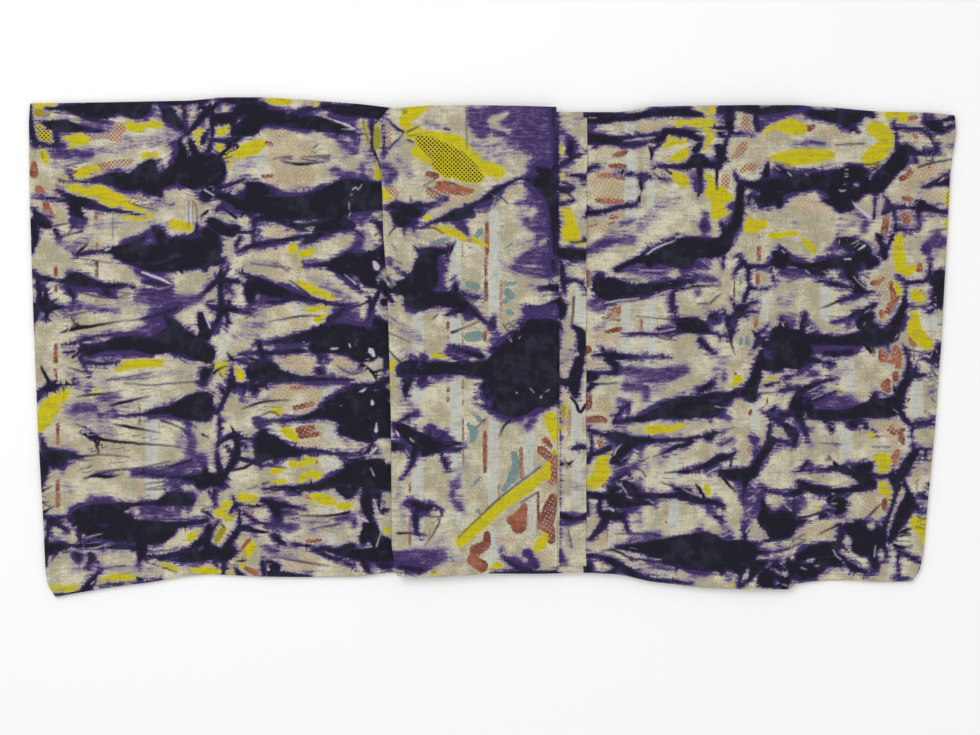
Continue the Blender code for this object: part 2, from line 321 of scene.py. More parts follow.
def all_rows():
    rows = list(panel_rows(STRIP[0], True))
    for panel, after in zip(STRIP, STRIP[1:]):
        turns = panel.heads_left != after.heads_left
        if turns:
            rows += fold_rows(panel, after)
        rows += panel_rows(after, turns)
    return rows


Sewn = namedtuple("Sewn", "names orders selvedge on_ledge")


def folded_sheet():
    """The cloth's mesh, with each corner's place on the flat cloth and its chart."""
    corners, flat, charts, faces = [], [], [], []
    total, run = 0, 0.0
    last = None
    for row in list(ledge_rows()) + all_rows():
        x, y, z = place(row)
        on_ledge = row.panel not in STRIP
        names, orders = np.arange(total, total + len(x)), row.columns.order
        total += len(x)
        corners.append(np.stack((x, y, z), axis=1))
        selvedge = corners[-1][-1]
        if last is not None:
            run += float(np.linalg.norm(selvedge - last.selvedge))
            joined = np.full(len(x), True)
            if last.on_ledge and not on_ledge:
                joined = orders > 1.01 * FOLD_ORDER  # the ledge goes on into the under ply alone
            faces += stitch(last.names, names[joined], last.orders, orders[joined])
        flat.append(np.stack((np.full_like(x, run), orders * PANEL_DEPTH), axis=1))
        charts += ["ledge" if on_ledge else row.panel.chart] * len(x)
        last = Sewn(names, orders, selvedge, on_ledge)
    mesh = bpy.data.meshes.new("adire_cloth")
    points = np.concatenate(corners)
    mesh.from_pydata(points.tolist(), [], [tuple(map(int, face)) for face in faces])
    mesh.shade_smooth()
    return mesh, points, np.concatenate(flat), np.array(charts)
# Charts of the print and the dye, one for each part of the cloth that shows. A row is an ink
# and then a stroke's places: x, y and half-width of each. Deep dye (dye) is cut away by bare.
# A few straight dye rows along a cut end or a fold are painted shade, not dye: see the note
# above each chart. Purple dye is wash or the thinner haze. A thin mark is a dark line or a
# light one. The other inks are print. A node is where the cloth was gathered: x, y and how far
# it draws the streaks.
# In LEFT, the dye row along the front fold, from x 46 to 90 at y 590 to 596, is painted shade where the
# fold turns under.
LEFT = """
dye 46 109 .8  62 107 3  78 109 6  98 109 10  118 105 8  138 108 11  146 103 4
dye 80 115 2  94 119 2.5  110 124 .6
dye 138 102 5  165 101 5  205 98 4
dye 152 108 3  163 113 6  174 121 5
dye 30 121 1  41 122 1.2  52 125 5  65 126 6  80 128 3.5  95 130 2  104 131 .6
dye 55 124 3  55 136 2.5  57 142 1.5
dye 29 104 1.5  29 118 2  31 132 3  35 144 3
dye 36 142 2  48 145 2  62 144 2
haze 60 149 4  64 144 3
wash 51 153 4  72 154 6  90 153 5
haze 90 152 5  125 146 5  160 139 6
haze 125 138 4  150 143 5  178 132 4
line 62 152 1.2  74 148 .4
line 62 167 .4  76 163 .9  90 160 .3
line 66 177 .3  76 170 1
haze 52 163 4  70 166 3
dye 68 173 1.2  71 177 1.6
dye 60 181 .6  85 181 1.4  100 179 3.5  112 179 7  128 181 10  142 179 10
dye 142 179 10  150 176 15  165 179 8  178 172 11  192 172 17  208 170 18
dye 147 166 6  150 162 4
haze 118 166 3  128 170 4
wash 122 187 5  138 186 6  145 192 4
wash 165 183 4  180 184 4
bare 122 169 1.4  128 172 1
bare 158 165 3  160 170 3
dye 144 190 3  156 190 5  160 196 2
dye 56 190 1  66 195 3  72 199 4  86 203 5  102 208 2.4  120 211 1.8  144 215 .6
dye 32 196 .7  46 197 1.2  62 200 1.6  73 203 3
dye 74 208 6  78 214 4  84 219 1
dye 71 205 1  72 216 1  73 224 1
dye 32 208 1.5  37 216 4  42 222 6  51 226 1.5
dye 32 222 4  34 236 4  31 252 1.5
line 52 226 1.2  62 224 .8  73 222 .5
wash 74 222 5  80 225 5  84 221 3
line 73 224 1  70 231 .6  66 234 .3
line 58 237 1.2  70 234 .8  82 231 1.2
haze 58 243 4  76 242 5  90 237 3
wash 66 247 2  78 244 2.5
dye 54 229 1.5  57 236 1.8
line 74 256 .5  80 250 1.5  88 242 .6
dye 76 254 2  90 252 1.6  102 251 1.6  112 250 4  124 253 8  145 254 10  160 252 9  178 246 10  205 248 12
dye 196 222 .6  197 230 2.5  201 239 3
line 180 238 .6  190 235 1  197 229 1.4
wash 124 243 3  140 238 5  155 236 6
dye 152 228 1.5  157 232 5  162 240 6
haze 168 239 5  185 242 5
dye 146 233 .6  140 240 3  122 247 3
wash 186 243 4  194 242 4
dye 182 104 2  185 118 1.6  186 130 1.4
dye 168 112 6  178 124 4  186 132 1.4
dye 206 112 4  196 124 3  188 132 1.5  178 140 1.4
wash 168 124 4  180 126 4
haze 165 131 4  184 130 3
dye 178 142 2  182 152 5  180 166 8
dye 189 140 2  194 150 4  198 162 6
dye 206 132 2  202 142 2.5
haze 150 112 5  146 120 3
bare 155 107 4  158 116 4
haze 110 112 4  128 113 5
wash 168 141 3  176 147 4  172 160 3
line 175 142 1  165 147 .4
line 192 200 .5  197 208 .5
line 128 202 .4  140 206 .9  158 210 .3
line 130 197 .3  146 200 .7
haze 150 204 5  172 205 4
line 168 206 .5  174 203 1
haze 96 225 4  126 224 3
haze 150 222 3  165 226 5
light 104 250 1.2  110 248 1.2
wash 124 255 5  145 258 8  163 262 5
dye 115 257 2  128 261 3  140 265 3.5  155 268 5  178 263 8  205 258 9
line 74 258 .3  90 260 .7  112 263 .3
line 84 263 .3  98 266 .6
wash 138 273 4  152 277 6  168 281 4
light 141 272 1.3  158 278 1.6  172 284 .8
dye 143 282 1  156 283 2.4  172 288 1
dye 32 272 1.2  38 277 3  50 279 1.8  64 281 2.5  73 279 7  83 281 6.5
dye 83 281 6.5  95 284 4  108 286 2.6  124 286 2.2  140 289 .8  172 292 .7
dye 65 272 .6  71 275 3
wash 76 289 4  92 290 3  112 291 4
dye 68 289 3  72 296 2.4  74 304 .8
dye 102 289 1  106 293 3.5  114 297 .8
line 78 292 .4  100 297 .9  130 298 .3
line 115 292 .4  140 294 .7  172 292 .4
dye 37 280 2.4  38 291 2.6  40 302 4  44 307 6  54 307 3  64 308 1.2  78 307 .5
dye 42 284 1  45 295 2.5  47 304 2
dye 32 306 4  33 314 5  31 324 2  31 336 1
dye 46 313 3  45 320 1
line 49 303 1.5  58 298 .8
dye 63 286 1.6
haze 66 306 4  86 305 4
wash 80 305 3  92 308 3.5  118 311 2
haze 60 315 4  76 316 4
line 62 318 .5  74 314 .8  90 311 .3
line 60 308 .4  74 322 1  68 330 .4
haze 118 301 3  136 305 4
wash 138 298 5  158 300 8  178 302 8  198 298 4
haze 140 308 6  180 308 5
line 58 333 .8  77 328 2  92 326 1.4  126 320 .5
line 77 322 1  76 328 1.5
line 126 321 .5  146 318 1
dye 142 319 .7  156 315 2  172 310 2.5  178 306 .8
wash 116 337 3  135 334 5  152 327 7  166 320 6
haze 156 326 3  164 330 3
dye 80 343 1.2  86 350 6  100 348 5  114 345 7  134 343 8  152 346 9  170 340 13  186 345 13  206 354 9
dye 165 318 3  174 327 6  182 336 5
bare 90 341 .8  102 339 1.6  112 336 1
wash 92 355 3  120 355 4  148 353 4
dye 62 346 .4  74 343 1  82 340 1.6  100 336 1.2  120 333 .6
dye 64 353 .5  74 352 1.6  83 350 3
line 71 358 1.4  78 353 1.2
light 72 349 .9  77 350 .9
dye 80 357 2  83 365 1.6  88 375 .6
line 66 367 .3  76 370 .9  84 374 .4
haze 66 374 3  80 378 4
dye 86 362 1.4  102 364 1.6  118 363 .8
haze 76 379 2  104 380 2.5  134 378 3  170 373 2.5  190 375 2
haze 80 386 5  92 384 4
haze 92 384 3  106 386 2
line 104 380 .4  128 377 .8  150 373 .4
line 124 383 .4  150 385 .7  200 381 .6
line 40 366 1  45 376 1.6  50 385 1.8
line 50 385 1.4  56 380 1.2
dye 36 400 2  41 391 2.5  50 387 4.5  58 386 1.6  76 384 .5
line 62 387 1  63 391 .8
line 76 397 .4  88 395 1.2  104 394 1  122 391 .4
dye 88 392 1.2
wash 98 400 3  108 398 4  118 397 2
wash 72 412 5  82 407 6  94 409 5
haze 62 405 5  78 416 8  96 417 6
haze 104 406 6  124 404 5  140 400 3
haze 100 424 8  110 434 6
line 108 406 1  125 402 1.4  150 396 .4
line 74 424 .4  86 428 1.2
dye 100 416 .6  124 415 .9  140 415 1.8  154 412 3  168 410 4.5  180 406 6  192 402 8  205 400 8
dye 172 414 3  186 414 6  204 414 8
wash 148 417 2  164 418 3  178 415 4
haze 184 408 3  196 408 5
line 160 421 1  176 426 .8  190 434 .5
line 185 420 .6  196 428 .8
wash 184 430 3  192 440 5  190 452 6  196 462 6
haze 180 446 6  188 428 6
line 112 424 .5  128 427 1.4  160 433 .3
line 78 432 .6  92 437 3  104 440 1.5  130 443 1.2  180 447 .5
dye 87 431 1.2  93 436 2.6
light 84 432 1  90 431 .8
line 93 438 1.8  96 446 1.2  99 455 .7
dye 41 438 1.2  43 448 3  52 456 6  63 456 5.5  72 456 3.5  80 457 1.4
line 78 457 1.2  100 455 .7  128 457 .5
dye 37 452 1.5  42 466 6  41 478 4  39 490 1.2
dye 50 462 5  60 463 5
wash 62 467 4  62 472 2
line 78 470 .4  92 466 .6
line 82 479 .5  94 476 1.6  106 477 1.6  120 475 .5
wash 94 475 2  110 475 2.5
line 94 472 .6  118 470 .9  140 468 .8  170 461 .5
wash 132 474 3  150 472 4.5  170 471 6  188 464 7  200 460 8
dye 136 472 1  152 475 1.4  170 477 1.6  184 478 3  204 480 6
haze 184 470 3  196 472 4
line 144 469 .4  170 466 1  192 460 1.2
line 144 484 .4  165 482 .9
line 144 490 .4  165 489 .9
wash 166 485 3  178 486 4
wash 188 480 4  196 472 4
line 40 492 1.4  52 486 .5
line 40 503 1.4  48 502 .4
line 42 513 1.6  54 506 .5
haze 66 486 4  70 492 2
wash 90 498 3  108 500 4
wash 70 511 4  78 508 5
dye 78 518 9  92 515 11  106 514 11  118 516 13
dye 115 506 3  130 505 2.5  146 504 2.2  160 503 4  172 499 7  188 500 7
dye 118 524 9  135 527 7  155 527 6  176 525 3.5  206 521 2.2
dye 42 517 1.4  52 519 2.4  66 518 1.6  78 520 4
dye 86 526 9  100 532 8  120 534 9  140 532 12  156 533 12  168 531 7
wash 130 513 3  150 513 4  172 514 5  186 512 5
bare 124 512 1.5  136 512 2.5
bare 184 513 3.5  190 516 2.5
wash 88 542 5  104 541 5
light 84 539 .5  92 536 .8  102 534 .4
light 86 549 .5  96 548 .8  110 543 .4
light 104 550 .6  130 551 .9
light 102 554 .6  130 554 .7
dye 88 545 4  104 548 2  120 547 3  134 549 3
haze 120 545 2  134 545 4
dye 49 523 4  57 524 2.4  66 530 1.5
dye 46 520 1.4  47 532 1.4  45 546 3  48 550 6  58 547 5  68 546 2  80 547 2.4
bare 57 536 2.5
dye 78 530 2  79 542 1.8
line 60 528 1  68 532 1.2
wash 76 557 6
dye 76 555 2.6  78 560 2
line 62 553 1.2  70 552 .8
light 72 550 .7  86 554 .6
dye 86 552 1  91 558 3.5  87 566 .8
dye 42 548 1.4  44 560 3  42 574 1.2
line 50 562 .6  56 552 1.4
dye 140 542 6  141 553 5  138 563 .8
dye 144 557 1.4  160 557 2.4  176 554 2  192 552 5
line 144 562 .6  160 567 1  176 573 .3
line 142 560 1.4  152 560 1
light 144 560 .8  156 563 .8  164 568 .5
dye 158 561 .8  176 560 2  190 558 5  206 556 6
dye 194 546 3  204 540 5
haze 176 565 4  196 566 3
haze 74 570 5  110 568 4  150 570 5
line 100 569 .4  125 566 .8
dye 84 590 3.4  90 584 4  94 577 2  98 572 .6
light 90 585 1  94 581 .7
dye 100 587 1.2  130 583 1.2  160 580 1
line 136 578 1.4  142 581 1.2
dye 46 596 1.5  68 594 1.2  90 590 1.4
node 198 302 34
node 190 131 26
node 197 208 24
node 200 375 26
node 198 458 26
node 200 520 24
node 44 306 14
node 50 386 14
yellow 30 105 3  44 106 2.5  56 103 1
olive 36 112 4  45 113 4
dotted 38 131 6.5  47 137 6.5
yellow 61 137 4.5  82 138 6
yellow 70 146 4
yellow 71 121 2.5  78 121 3
yellow 130 125 4.5  140 127 4
yellow 148 124 2.5  170 124 2
yellow 47 148 3  45 161 2
olive 40 150 1.5  42 158 1.5
yellow 144 155 2.5  155 156 2.5
yellow 78 174 5  94 172 6
yellow 61 179 1.5  69 177 2.5
yellow 61 184 1  80 190 6.5  98 195 11  112 201 9  126 208 7  140 213 4  150 216 .8
yellow 120 216 .8  140 218 1.8  152 216 .6
yellow 172 224 3.5  184 226 3.5  194 230 2
yellow 193 131 3  203 133 4
yellow 199 140 3.5  199 149 2
olive 186 146 1.6  186 156 1.6
yellow 202 236 2
lattice 86 123 3.5  104 127 4  120 128 5
lattice 84 137 4  104 134 4  118 138 4
tan 104 128 4  124 128 5
lattice 95 170 4.5  110 165 4  130 161 2.5
lattice 119 193 3  130 195 3  140 197 1.5
tan 190 200 6  206 199 6
rust 33 163 2.5  33 173 4.5
rust 38 189 4  43 192 2
rust 45 202 3  47 212 4  54 217 1.5
rust 55 184 1.2  55 195 1.6
tan 54 200 2  54 218 2
rust 95 213 1.6  95 219 1.6
rust 96 244 1.4  96 250 1.4
yellow 118 368 3  128 365 4  144 363 4  160 363 2.5
yellow 67 384 3.5  64 393 3.5  57 401 7  47 410 8  42 422 6  38 430 2.5
olive 56 386 3
yellow 95 390 1.5
rust 55 268 1.6  55 275 1.8
rust 55 285 1.6  55 291 1.6
rust 55 345 1.6  55 351 1.6
rust 55 355 2  55 362 2
rust 54 369 1.2  56 378 1.2
rust 96 262 1.5  96 266 1.5
rust 96 270 1.5  96 277 1.5
rust 96 300 1.2  96 303 1.2
tan 96 320 1  96 324 1
tan 112 262 .8  112 300 .8
rust 57 424 1.5  57 444 1.5
rust 57 480 1.6  57 490 2
rust 57 494 2  57 506 2
tan 99 445 1.2  100 500 1.2
tan 116 420 .8  117 500 .8
tan 75 425 1.2  76 510 1.2
rust 138 404 1.1  139 411 1.1
rust 139 419 1.1  139 425 1.1
tan 139 432 1.2  140 495 1.2
pale 150 400 6  151 500 6
pale 46 560 2  47 590 2
pale 188 200 3  188 220 3
line 188 200 .25  188 228 .25
line 196 206 .2  196 222 .2
line 112 212 .2  112 240 .2
yellow 190 538 3.5  200 534 3
yellow 162 565 2.5  175 570 2
yellow 192 568 3  208 572 3
yellow 98 583 2.5  116 580 4.5  133 579 2.5
yellow 45 591 3.2  62 590 3.2  78 589 2
dye 262 98 1  240 101 4  222 100 2  214 106 2.5  205 114 2.5
dye 200 106 2  209 109 2
haze 218 108 3  232 108 5
bare 226 109 2.6  225 113 3.4
dye 210 104 2  212 116 3  212 136 1.4
dye 240 110 7  262 108 6  252 124 10  238 130 7
dye 214 118 5  232 118 6
dye 262 117 8  280 118 8  300 121 8  322 124 7  342 128 6
dye 300 112 3  322 106 3  342 110 6  362 110 7  386 113 7
wash 250 125 3  285 124 3  306 130 4
wash 262 106 3  290 113 3  310 117 3
haze 276 107 4  288 111 4
bare 284 106 2  288 112 2.4
bare 302 103 2.5  318 104 3
light 322 116 .6  345 124 1.5  362 133 .8
light 332 119 .6  350 125 1
wash 330 119 4  352 122 6
dye 334 128 3  348 131 3  362 134 .6
haze 340 120 4  356 128 4
line 342 133 .5  352 131 1.2  363 134 .5
dye 231 122 1.4  232 139 1.4
dye 206 139 1  220 140 2  232 141 3  238 137 3
dye 205 156 4  209 148 2  210 142 1.5
dye 208 166 3  203 160 5
line 218 156 1.4  228 148 1.8  232 142 1.4
line 205 164 1.4  218 160 1.2  232 156 .5
line 226 142 1.4  238 146 1.6
line 230 139 .8  234 150 1
haze 232 150 3
haze 205 168 3  206 178 3
haze 236 168 3  252 162 4
haze 246 158 3  262 156 2
line 280 160 .4  300 164 1.3  330 160 .4
line 272 158 .4  292 156 .9
line 300 157 .4  330 155 .9
line 312 148 .8  318 144 .8
haze 285 162 3  310 162 3  332 158 3
haze 340 142 4  346 156 5
wash 336 138 3  348 146 5  354 152 4
wash 334 170 5  348 174 5  358 165 4
wash 352 130 4  356 145 4
bare 344 167 3.5  355 166 4
wash 362 164 3  363 186 4
haze 366 150 5  370 170 5  368 184 5
dye 368 106 2.4  371 122 1.6  372 146 1.4  378 158 1.4  384 172 1.4
dye 374 112 4  384 120 4
dye 375 154 2  381 153 2
line 362 118 .5  368 142 .5
dye 205 178 4  208 186 4  205 196 6
line 208 180 1.4  220 172 .8
dye 216 188 2  230 184 1.4  244 178 1
light 203 189 1  214 195 1
dye 208 192 2  222 196 4  238 196 4  250 192 9  256 202 12
dye 246 184 3  258 188 6  272 192 4
dye 268 206 12  290 208 12  310 206 13  330 202 17  350 196 18  370 196 15  390 196 13
wash 256 186 2  276 193 3  304 196 4  322 188 3
haze 290 190 4  312 188 4
dye 226 199 3  240 204 6  248 214 3  252 226 2
bare 233 190 5  240 187 5
dye 220 184 .8  232 188 .8
line 224 186 .8  244 180 1.2
light 352 190 1  356 186 .8
light 351 195 1.9
light 349 201 .7  349 210 .6
light 350 213 1.5
light 358 190 .8  362 184 .6
haze 336 194 3
wash 350 216 3  362 222 4
bare 232 218 5
bare 224 216 2
bare 245 220 5  248 228 4
wash 226 208 5  236 212 4
line 220 206 1  236 218 1.6
line 240 218 1  244 212 1.6
dye 236 228 4  228 226 2
dye 204 218 2  212 222 5  220 228 6  230 232 5
dye 206 232 6  214 242 7  214 256 6
dye 222 205 2  216 210 2
bare 210 209 4  204 216 4
line 200 216 1.2  208 210 1.4
dye 236 232 1.8  253 231 1.2  254 222 1.4
dye 253 232 1  254 246 1.8
dye 240 236 1.2  236 245 2
dye 256 219 3  270 218 3  286 222 3.5  300 227 3.5  322 226 6  344 222 8
haze 262 226 2  258 238 3
haze 300 231 2  314 230 3
light 296 233 .4  312 232 1.2
light 304 228 .4  314 227 .9
dye 238 251 1  254 245 2.6  276 241 2  300 237 2  322 234 2.4  338 230 2
wash 262 247 2  284 242 2
dye 300 243 1  310 240 3  318 236 2
wash 322 222 5  340 224 5  352 230 4
line 340 222 .8  352 228 1.2  364 238 .8
line 344 216 .8  356 226 1.2
wash 360 236 6  356 250 6
dye 346 254 3  356 258 6  368 262 10  384 256 10
haze 366 230 4  372 244 3
line 368 222 1.2  378 218 .7
line 374 236 1  382 230 .7
dye 376 222 2  388 232 5
dye 386 206 3  386 226 2  382 240 1.4  388 252 3
wash 366 216 5  350 212 4
line 376 252 1.2  384 244 1
haze 330 268 3  352 272 4
dye 302 265 1  316 265 2  326 264 3
dye 330 266 4  344 274 3  356 286 2  362 292 .7
dye 334 264 6  350 264 10  368 268 12
wash 340 276 3  352 286 3
haze 344 272 2  358 278 3
light 344 274 .5  356 284 1.2
dye 372 262 3  366 276 8  376 286 3
dye 388 240 5  392 262 5
dye 382 282 3  376 298 2  372 308 2
dye 384 286 4  388 292 5
light 374 262 2.4  377 268 3.6
haze 246 263 2  285 264 2
line 250 263 .4  290 268 .9
line 276 262 .5  288 272 .6
haze 226 260 5  232 254 3
dye 206 256 6  214 262 4  222 260 3
dye 202 266 3  206 270 2
dye 221 262 .6  220 272 2.4  220 280 3.6  220 294 2.6  221 308 4.4
dye 202 294 1.4  210 286 3  219 279 3
dye 228 268 .8  222 276 2
dye 214 273 .8  219 279 2
dye 222 280 3  234 281 2.2  246 286 1.2
wash 226 286 3  232 294 3
line 224 284 1.2  232 294 .8
dye 238 272 .8  248 276 2  258 284 7  268 289 8  280 292 6  294 296 4  310 299 2.2  330 303 1.8  350 306 .6
dye 250 286 7  250 298 5  254 304 .8
wash 262 297 3  276 300 3
dye 256 303 1  272 302 2  290 300 1.4
wash 282 284 3  300 294 3  312 302 3
line 288 280 .6  300 288 1  310 297 1
haze 310 277 3  342 290 4
haze 322 284 4  350 298 4
line 318 286 .3  340 292 .8
line 330 296 .3  350 298 .8
dye 207 304 1.4  214 308 2.6  228 309 3.4  240 311 1.8  249 312 1.4
dye 228 302 2.6
dye 221 310 4  217 320 3  212 328 2.8  208 338 1.4
dye 226 312 1.8  227 320 1.6  225 328 .8
line 206 302 1  214 300 1.2
wash 219 322 2  214 332 2
light 204 314 1.2  210 328 1.2
dye 200 314 3  202 326 5  206 336 4
line 246 310 1  254 318 .8
line 244 318 .8  258 314 .6
line 250 302 1  260 300 .5
haze 252 308 6  260 314 5
haze 246 326 5  262 326 4
wash 252 326 2  262 325 2
haze 234 336 4  252 334 3
line 268 322 .4  300 316 1  320 316 .4
dye 345 308 1  338 314 3  330 320 4
wash 338 310 4  356 306 4
wash 336 324 6  350 316 7  372 320 8
line 344 310 .6  362 304 1  372 300 1.4
dye 366 294 1  371 302 2.4  370 316 1.4
bare 364 296 2.6  367 292 2
bare 364 314 4
line 360 326 .8  370 317 1
dye 376 322 5  386 330 8
light 376 306 1.6  384 318 1
dye 384 302 4
dye 254 343 1  268 342 1.6  290 340 4  310 336 6  328 331 8  344 334 11  362 338 12  384 344 14
dye 316 346 8  334 346 8  352 350 7  370 356 6
dye 240 354 .6  250 353 1.2  262 353 2.2  284 352 2.4  304 350 2.4
dye 258 341 1.6  260 350 3  263 358 3
wash 262 356 3  270 361 2
haze 268 345 2  282 346 3
wash 276 346 3  300 344 3
light 303 342 1.6
light 330 349 1.2  338 348 1.2
light 349 344 1.4  350 348 .8
light 357 340 1
haze 370 346 6
light 370 350 3.4  374 356 1.8
wash 340 348 4  356 340 4
dye 200 336 4  208 340 1.2  208 348 1
line 208 346 1  216 347 .7
line 226 352 .7  232 360 1.8
dye 230 360 1  240 361 1.4  252 366 1.2
haze 244 360 2
line 242 355 .6  252 359 1.4  260 362 1
dye 200 354 .8  212 364 1.2  209 374 1.4
line 212 374 1.6  220 368 1  228 366 .5
dye 205 372 5  202 382 4
dye 231 363 .6  231 375 2.2  232 384 4  238 386 2.8  250 385 2
dye 230 386 3  225 396 2.4  220 408 2
dye 221 388 1.4  225 398 2
dye 243 386 2  243 397 1.2
dye 247 387 2  254 395 1.4
wash 234 391 2  238 390 2
dye 250 384 2.6  255 390 3
dye 254 372 9  262 372 9  272 375 8  286 377 5  300 379 3.2  320 379 2  354 380 .7
dye 252 364 2  264 364 5  276 368 3
dye 254 386 2.4  264 384 3
dye 318 354 2  320 361 2
dye 322 354 1  328 361 1.2
dye 318 370 3  322 374 2
haze 322 370 5  332 374 4
wash 306 383 3  324 384 4  344 382 2
haze 340 372 3  362 370 4
line 336 366 .4  352 374 .9  366 370 .4
line 360 364 1.4  372 372 1.6  378 384 .8
line 374 372 1.4  386 369 1
dye 352 356 3  362 360 4
dye 346 388 1  358 386 3  374 386 3  386 380 4
dye 384 372 1.5  388 362 5
dye 378 386 3  388 394 4
dye 326 404 3  342 398 6  360 398 10  378 402 10
haze 362 388 3
wash 322 406 3  338 396 4  352 392 4
light 360 392 1.6  366 388 1.2
light 372 400 1.2  372 404 2.4
light 341 406 1.6
haze 340 408 3  350 398 4
dye 352 410 6  356 424 9
line 240 410 .5  262 402 1.2  290 400 .4
haze 252 404 4  268 398 3
tan 270 142 5  284 134 6  296 140 5
tan 266 178 4  290 184 8  306 186 5
tan 276 156 12  300 150 10  306 172 8
brick 264 142 1.5  272 144 1.5
brick 262 176 1.5  272 176 1.6
pale 234 168 4  256 160 6
pale 262 145 2  262 175 2
yellow 202 141 3.5
yellow 220 132 3  227 128 5
yellow 216 149 2.6  221 146 2.6
yellow 222 155 2.6  230 154 2
yellow 214 171 4.5  226 163 4.5
yellow 238 153 4  250 149 6.5  260 144 4
yellow 262 100 1.4  272 102 2.4  288 101 2.4
yellow 316 104 2
yellow 364 124 2.4  367 134 2.4  370 144 1.4
olive 378 142 4  378 149 3
yellow 378 163 2.4  378 176 3
yellow 292 228 3  294 234 3
tan 268 226 3  275 231 8  284 230 5
pale 259 224 3  260 238 3
yellow 294 245 3  291 250 3
yellow 300 255 2  311 251 2.5
yellow 300 264 1.4  301 269 1
tan 268 252 6  284 250 5
tan 274 276 5  290 268 3
yellow 298 282 1.5  310 289 3.5  322 295 3.5  332 298 1.5
yellow 310 309 2.4  325 306 2
yellow 317 319 2.6  330 316 2
pale 295 304 3  298 318 3
tan 280 310 6  300 326 7
tan 282 360 5  300 362 11  314 366 8
tan 330 358 3  345 364 4
brick 291 388 1.6  308 387 1.8
tan 280 396 6  300 388 7  316 396 5
brick 294 408 2  312 404 2.6
tan 300 410 6  312 406 4
yellow 272 411 2  280 412 2.6
pale 328 394 6  340 390 4
yellow 203 360 4  212 366 6
yellow 224 368 5  232 374 7  242 376 4
rust 220 374 2  226 377 1.6
pale 224 340 3  222 356 3
pale 221 320 3  224 345 3
dye 200 402 5  210 409 4  216 412 3
dye 218 412 1.2  219 428 1.6  218 446 1.4
dye 216 446 1  217 458 2  219 470 3  221 480 4
dye 204 468 2  206 476 4  214 478 4
line 218 421 1.4  226 422 .8
haze 224 419 3
line 201 434 1.2  208 438 .8
haze 204 456 3  210 450 2
line 230 425 .7  234 434 1.8
dye 219 443 1.4  227 438 2.6  235 436 3.4  246 439 1.4  258 440 1.4
dye 236 438 3  237 450 3.4  234 460 3.8  228 470 3  222 478 3
dye 226 446 1.2  232 454 2.4
dye 240 441 .8  246 448 1.4
line 226 452 1.2  234 450 .8
dye 238 458 2  248 461 2  258 464 2
line 232 470 1  244 468 1.4  256 460 1.2
dye 254 442 1.4  257 458 2.6  260 466 2
dye 254 426 .8  262 431 3  264 444 11  274 448 11  286 451 7  298 453 4
dye 262 456 7  270 458 5  276 462 2
dye 296 452 2.6  320 452 2  346 454 1.4  368 450 1
dye 256 421 .8  272 421 1.2  290 420 1.8  304 418 2.6  318 414 5
dye 318 414 5  334 412 9  352 416 13  372 420 17  390 420 18
dye 342 430 5  358 434 7  372 438 5
haze 256 418 3
line 260 416 .6  272 412 .8  282 418 .5
haze 260 424 4  270 428 2
wash 262 432 2  256 440 3
haze 264 466 4  272 462 3
light 262 464 .6  272 460 .9
haze 340 438 3  352 446 3
line 344 456 .5  364 454 1.2  372 446 1.4
light 376 422 .7  376 432 2
light 370 454 1  376 448 1.8
dye 346 466 3  362 466 6  378 466 8
dye 372 446 2  376 452 2
dye 340 458 .8  354 460 1.4  364 458 1
bare 384 444 4
bare 376 444 3  384 456 2
light 370 468 .6  374 476 1
dye 262 489 1  280 488 1.8  300 488 2.6  316 487 4  332 482 6  350 476 10  368 476 13  388 478 13
dye 340 488 5  348 494 5  356 486 4
dye 366 490 5  378 496 4
wash 324 480 2  340 472 2
line 262 494 .4  280 490 1.2
line 268 466 1  286 468 .7
line 262 484 1.2  270 482 .6
dye 286 492 1  292 490 3  300 494 1
haze 270 498 3  290 496 4
line 246 490 .3  258 486 .6
dye 200 484 6  212 482 5  222 486 3
dye 206 488 1.2  212 500 .7
dye 214 490 1.4  215 506 .5
haze 222 484 4
line 200 511 1  208 514 1.4  214 520 .8
line 200 506 .4  212 508 .6
haze 204 516 3  212 512 2
dye 232 497 1  236 506 1.8  239 518 1.4  240 530 2.4
dye 230 512 1.6  236 505 1.6  250 506 .7  262 505 1.4
dye 240 511 .8  250 518 1.6  262 524 1.8  274 525 1
dye 262 500 2  270 503 4.6  276 510 5  278 520 4
dye 272 504 4  286 506 2.4  302 508 .5
dye 280 512 1  296 515 .6
bare 266 514 3.6
haze 278 526 5  290 526 6  300 524 4
wash 276 524 4  288 528 5  296 526 4
dye 274 536 3  280 542 3  286 544 1
haze 300 524 4  330 520 4
line 300 516 .6  330 516 1.2  350 512 1.4
line 310 530 .4  340 524 .8
haze 310 530 5  340 526 3
wash 336 520 3  352 518 5  354 526 3
dye 344 549 4  352 546 3
dye 366 500 6  368 520 5  364 540 5
dye 378 494 1.6  380 512 1.4  386 508 3
dye 372 526 5  376 540 7  388 548 9
light 374 500 1  378 514 .8
bare 362 519 4.6
light 356 516 1.2  368 522 1.2
bare 386 500 3  387 506 3
light 382 530 .6  376 548 .9
dye 284 545 1  296 545 1.6  310 547 1.4  328 550 2.6  346 553 5  366 556 7  390 554 9
dye 312 550 1  328 556 2.4  344 562 1.2  356 570 .5
wash 320 552 2  332 556 3
light 324 552 .5  334 556 .8
line 340 566 .4  352 564 1.4
haze 346 564 2  360 564 2
dye 362 560 3  368 570 3
dye 374 562 1  382 566 3  390 566 3
haze 266 550 5  284 554 5  300 560 4
line 270 556 .4  300 562 .9  330 566 .3
wash 264 548 3  276 552 4
dye 268 562 2  276 568 4.6  270 574 4  290 576 2.6  310 577 1.4
dye 262 562 2  264 574 3
light 268 570 2.4
dye 272 562 1.2
dye 208 528 4  206 544 4  212 552 6  222 556 7  230 552 6
dye 226 546 3  234 536 3  240 528 3  248 529 3  256 532 2
line 248 530 1.4  260 532 1.6  270 532 .8
haze 254 536 3  262 540 4
dye 212 560 2  216 566 1.6
dye 223 558 2  223 576 1.4
dye 236 562 1  244 561 .8
dye 234 568 .8  240 576 3
line 220 524 .8  224 528 1
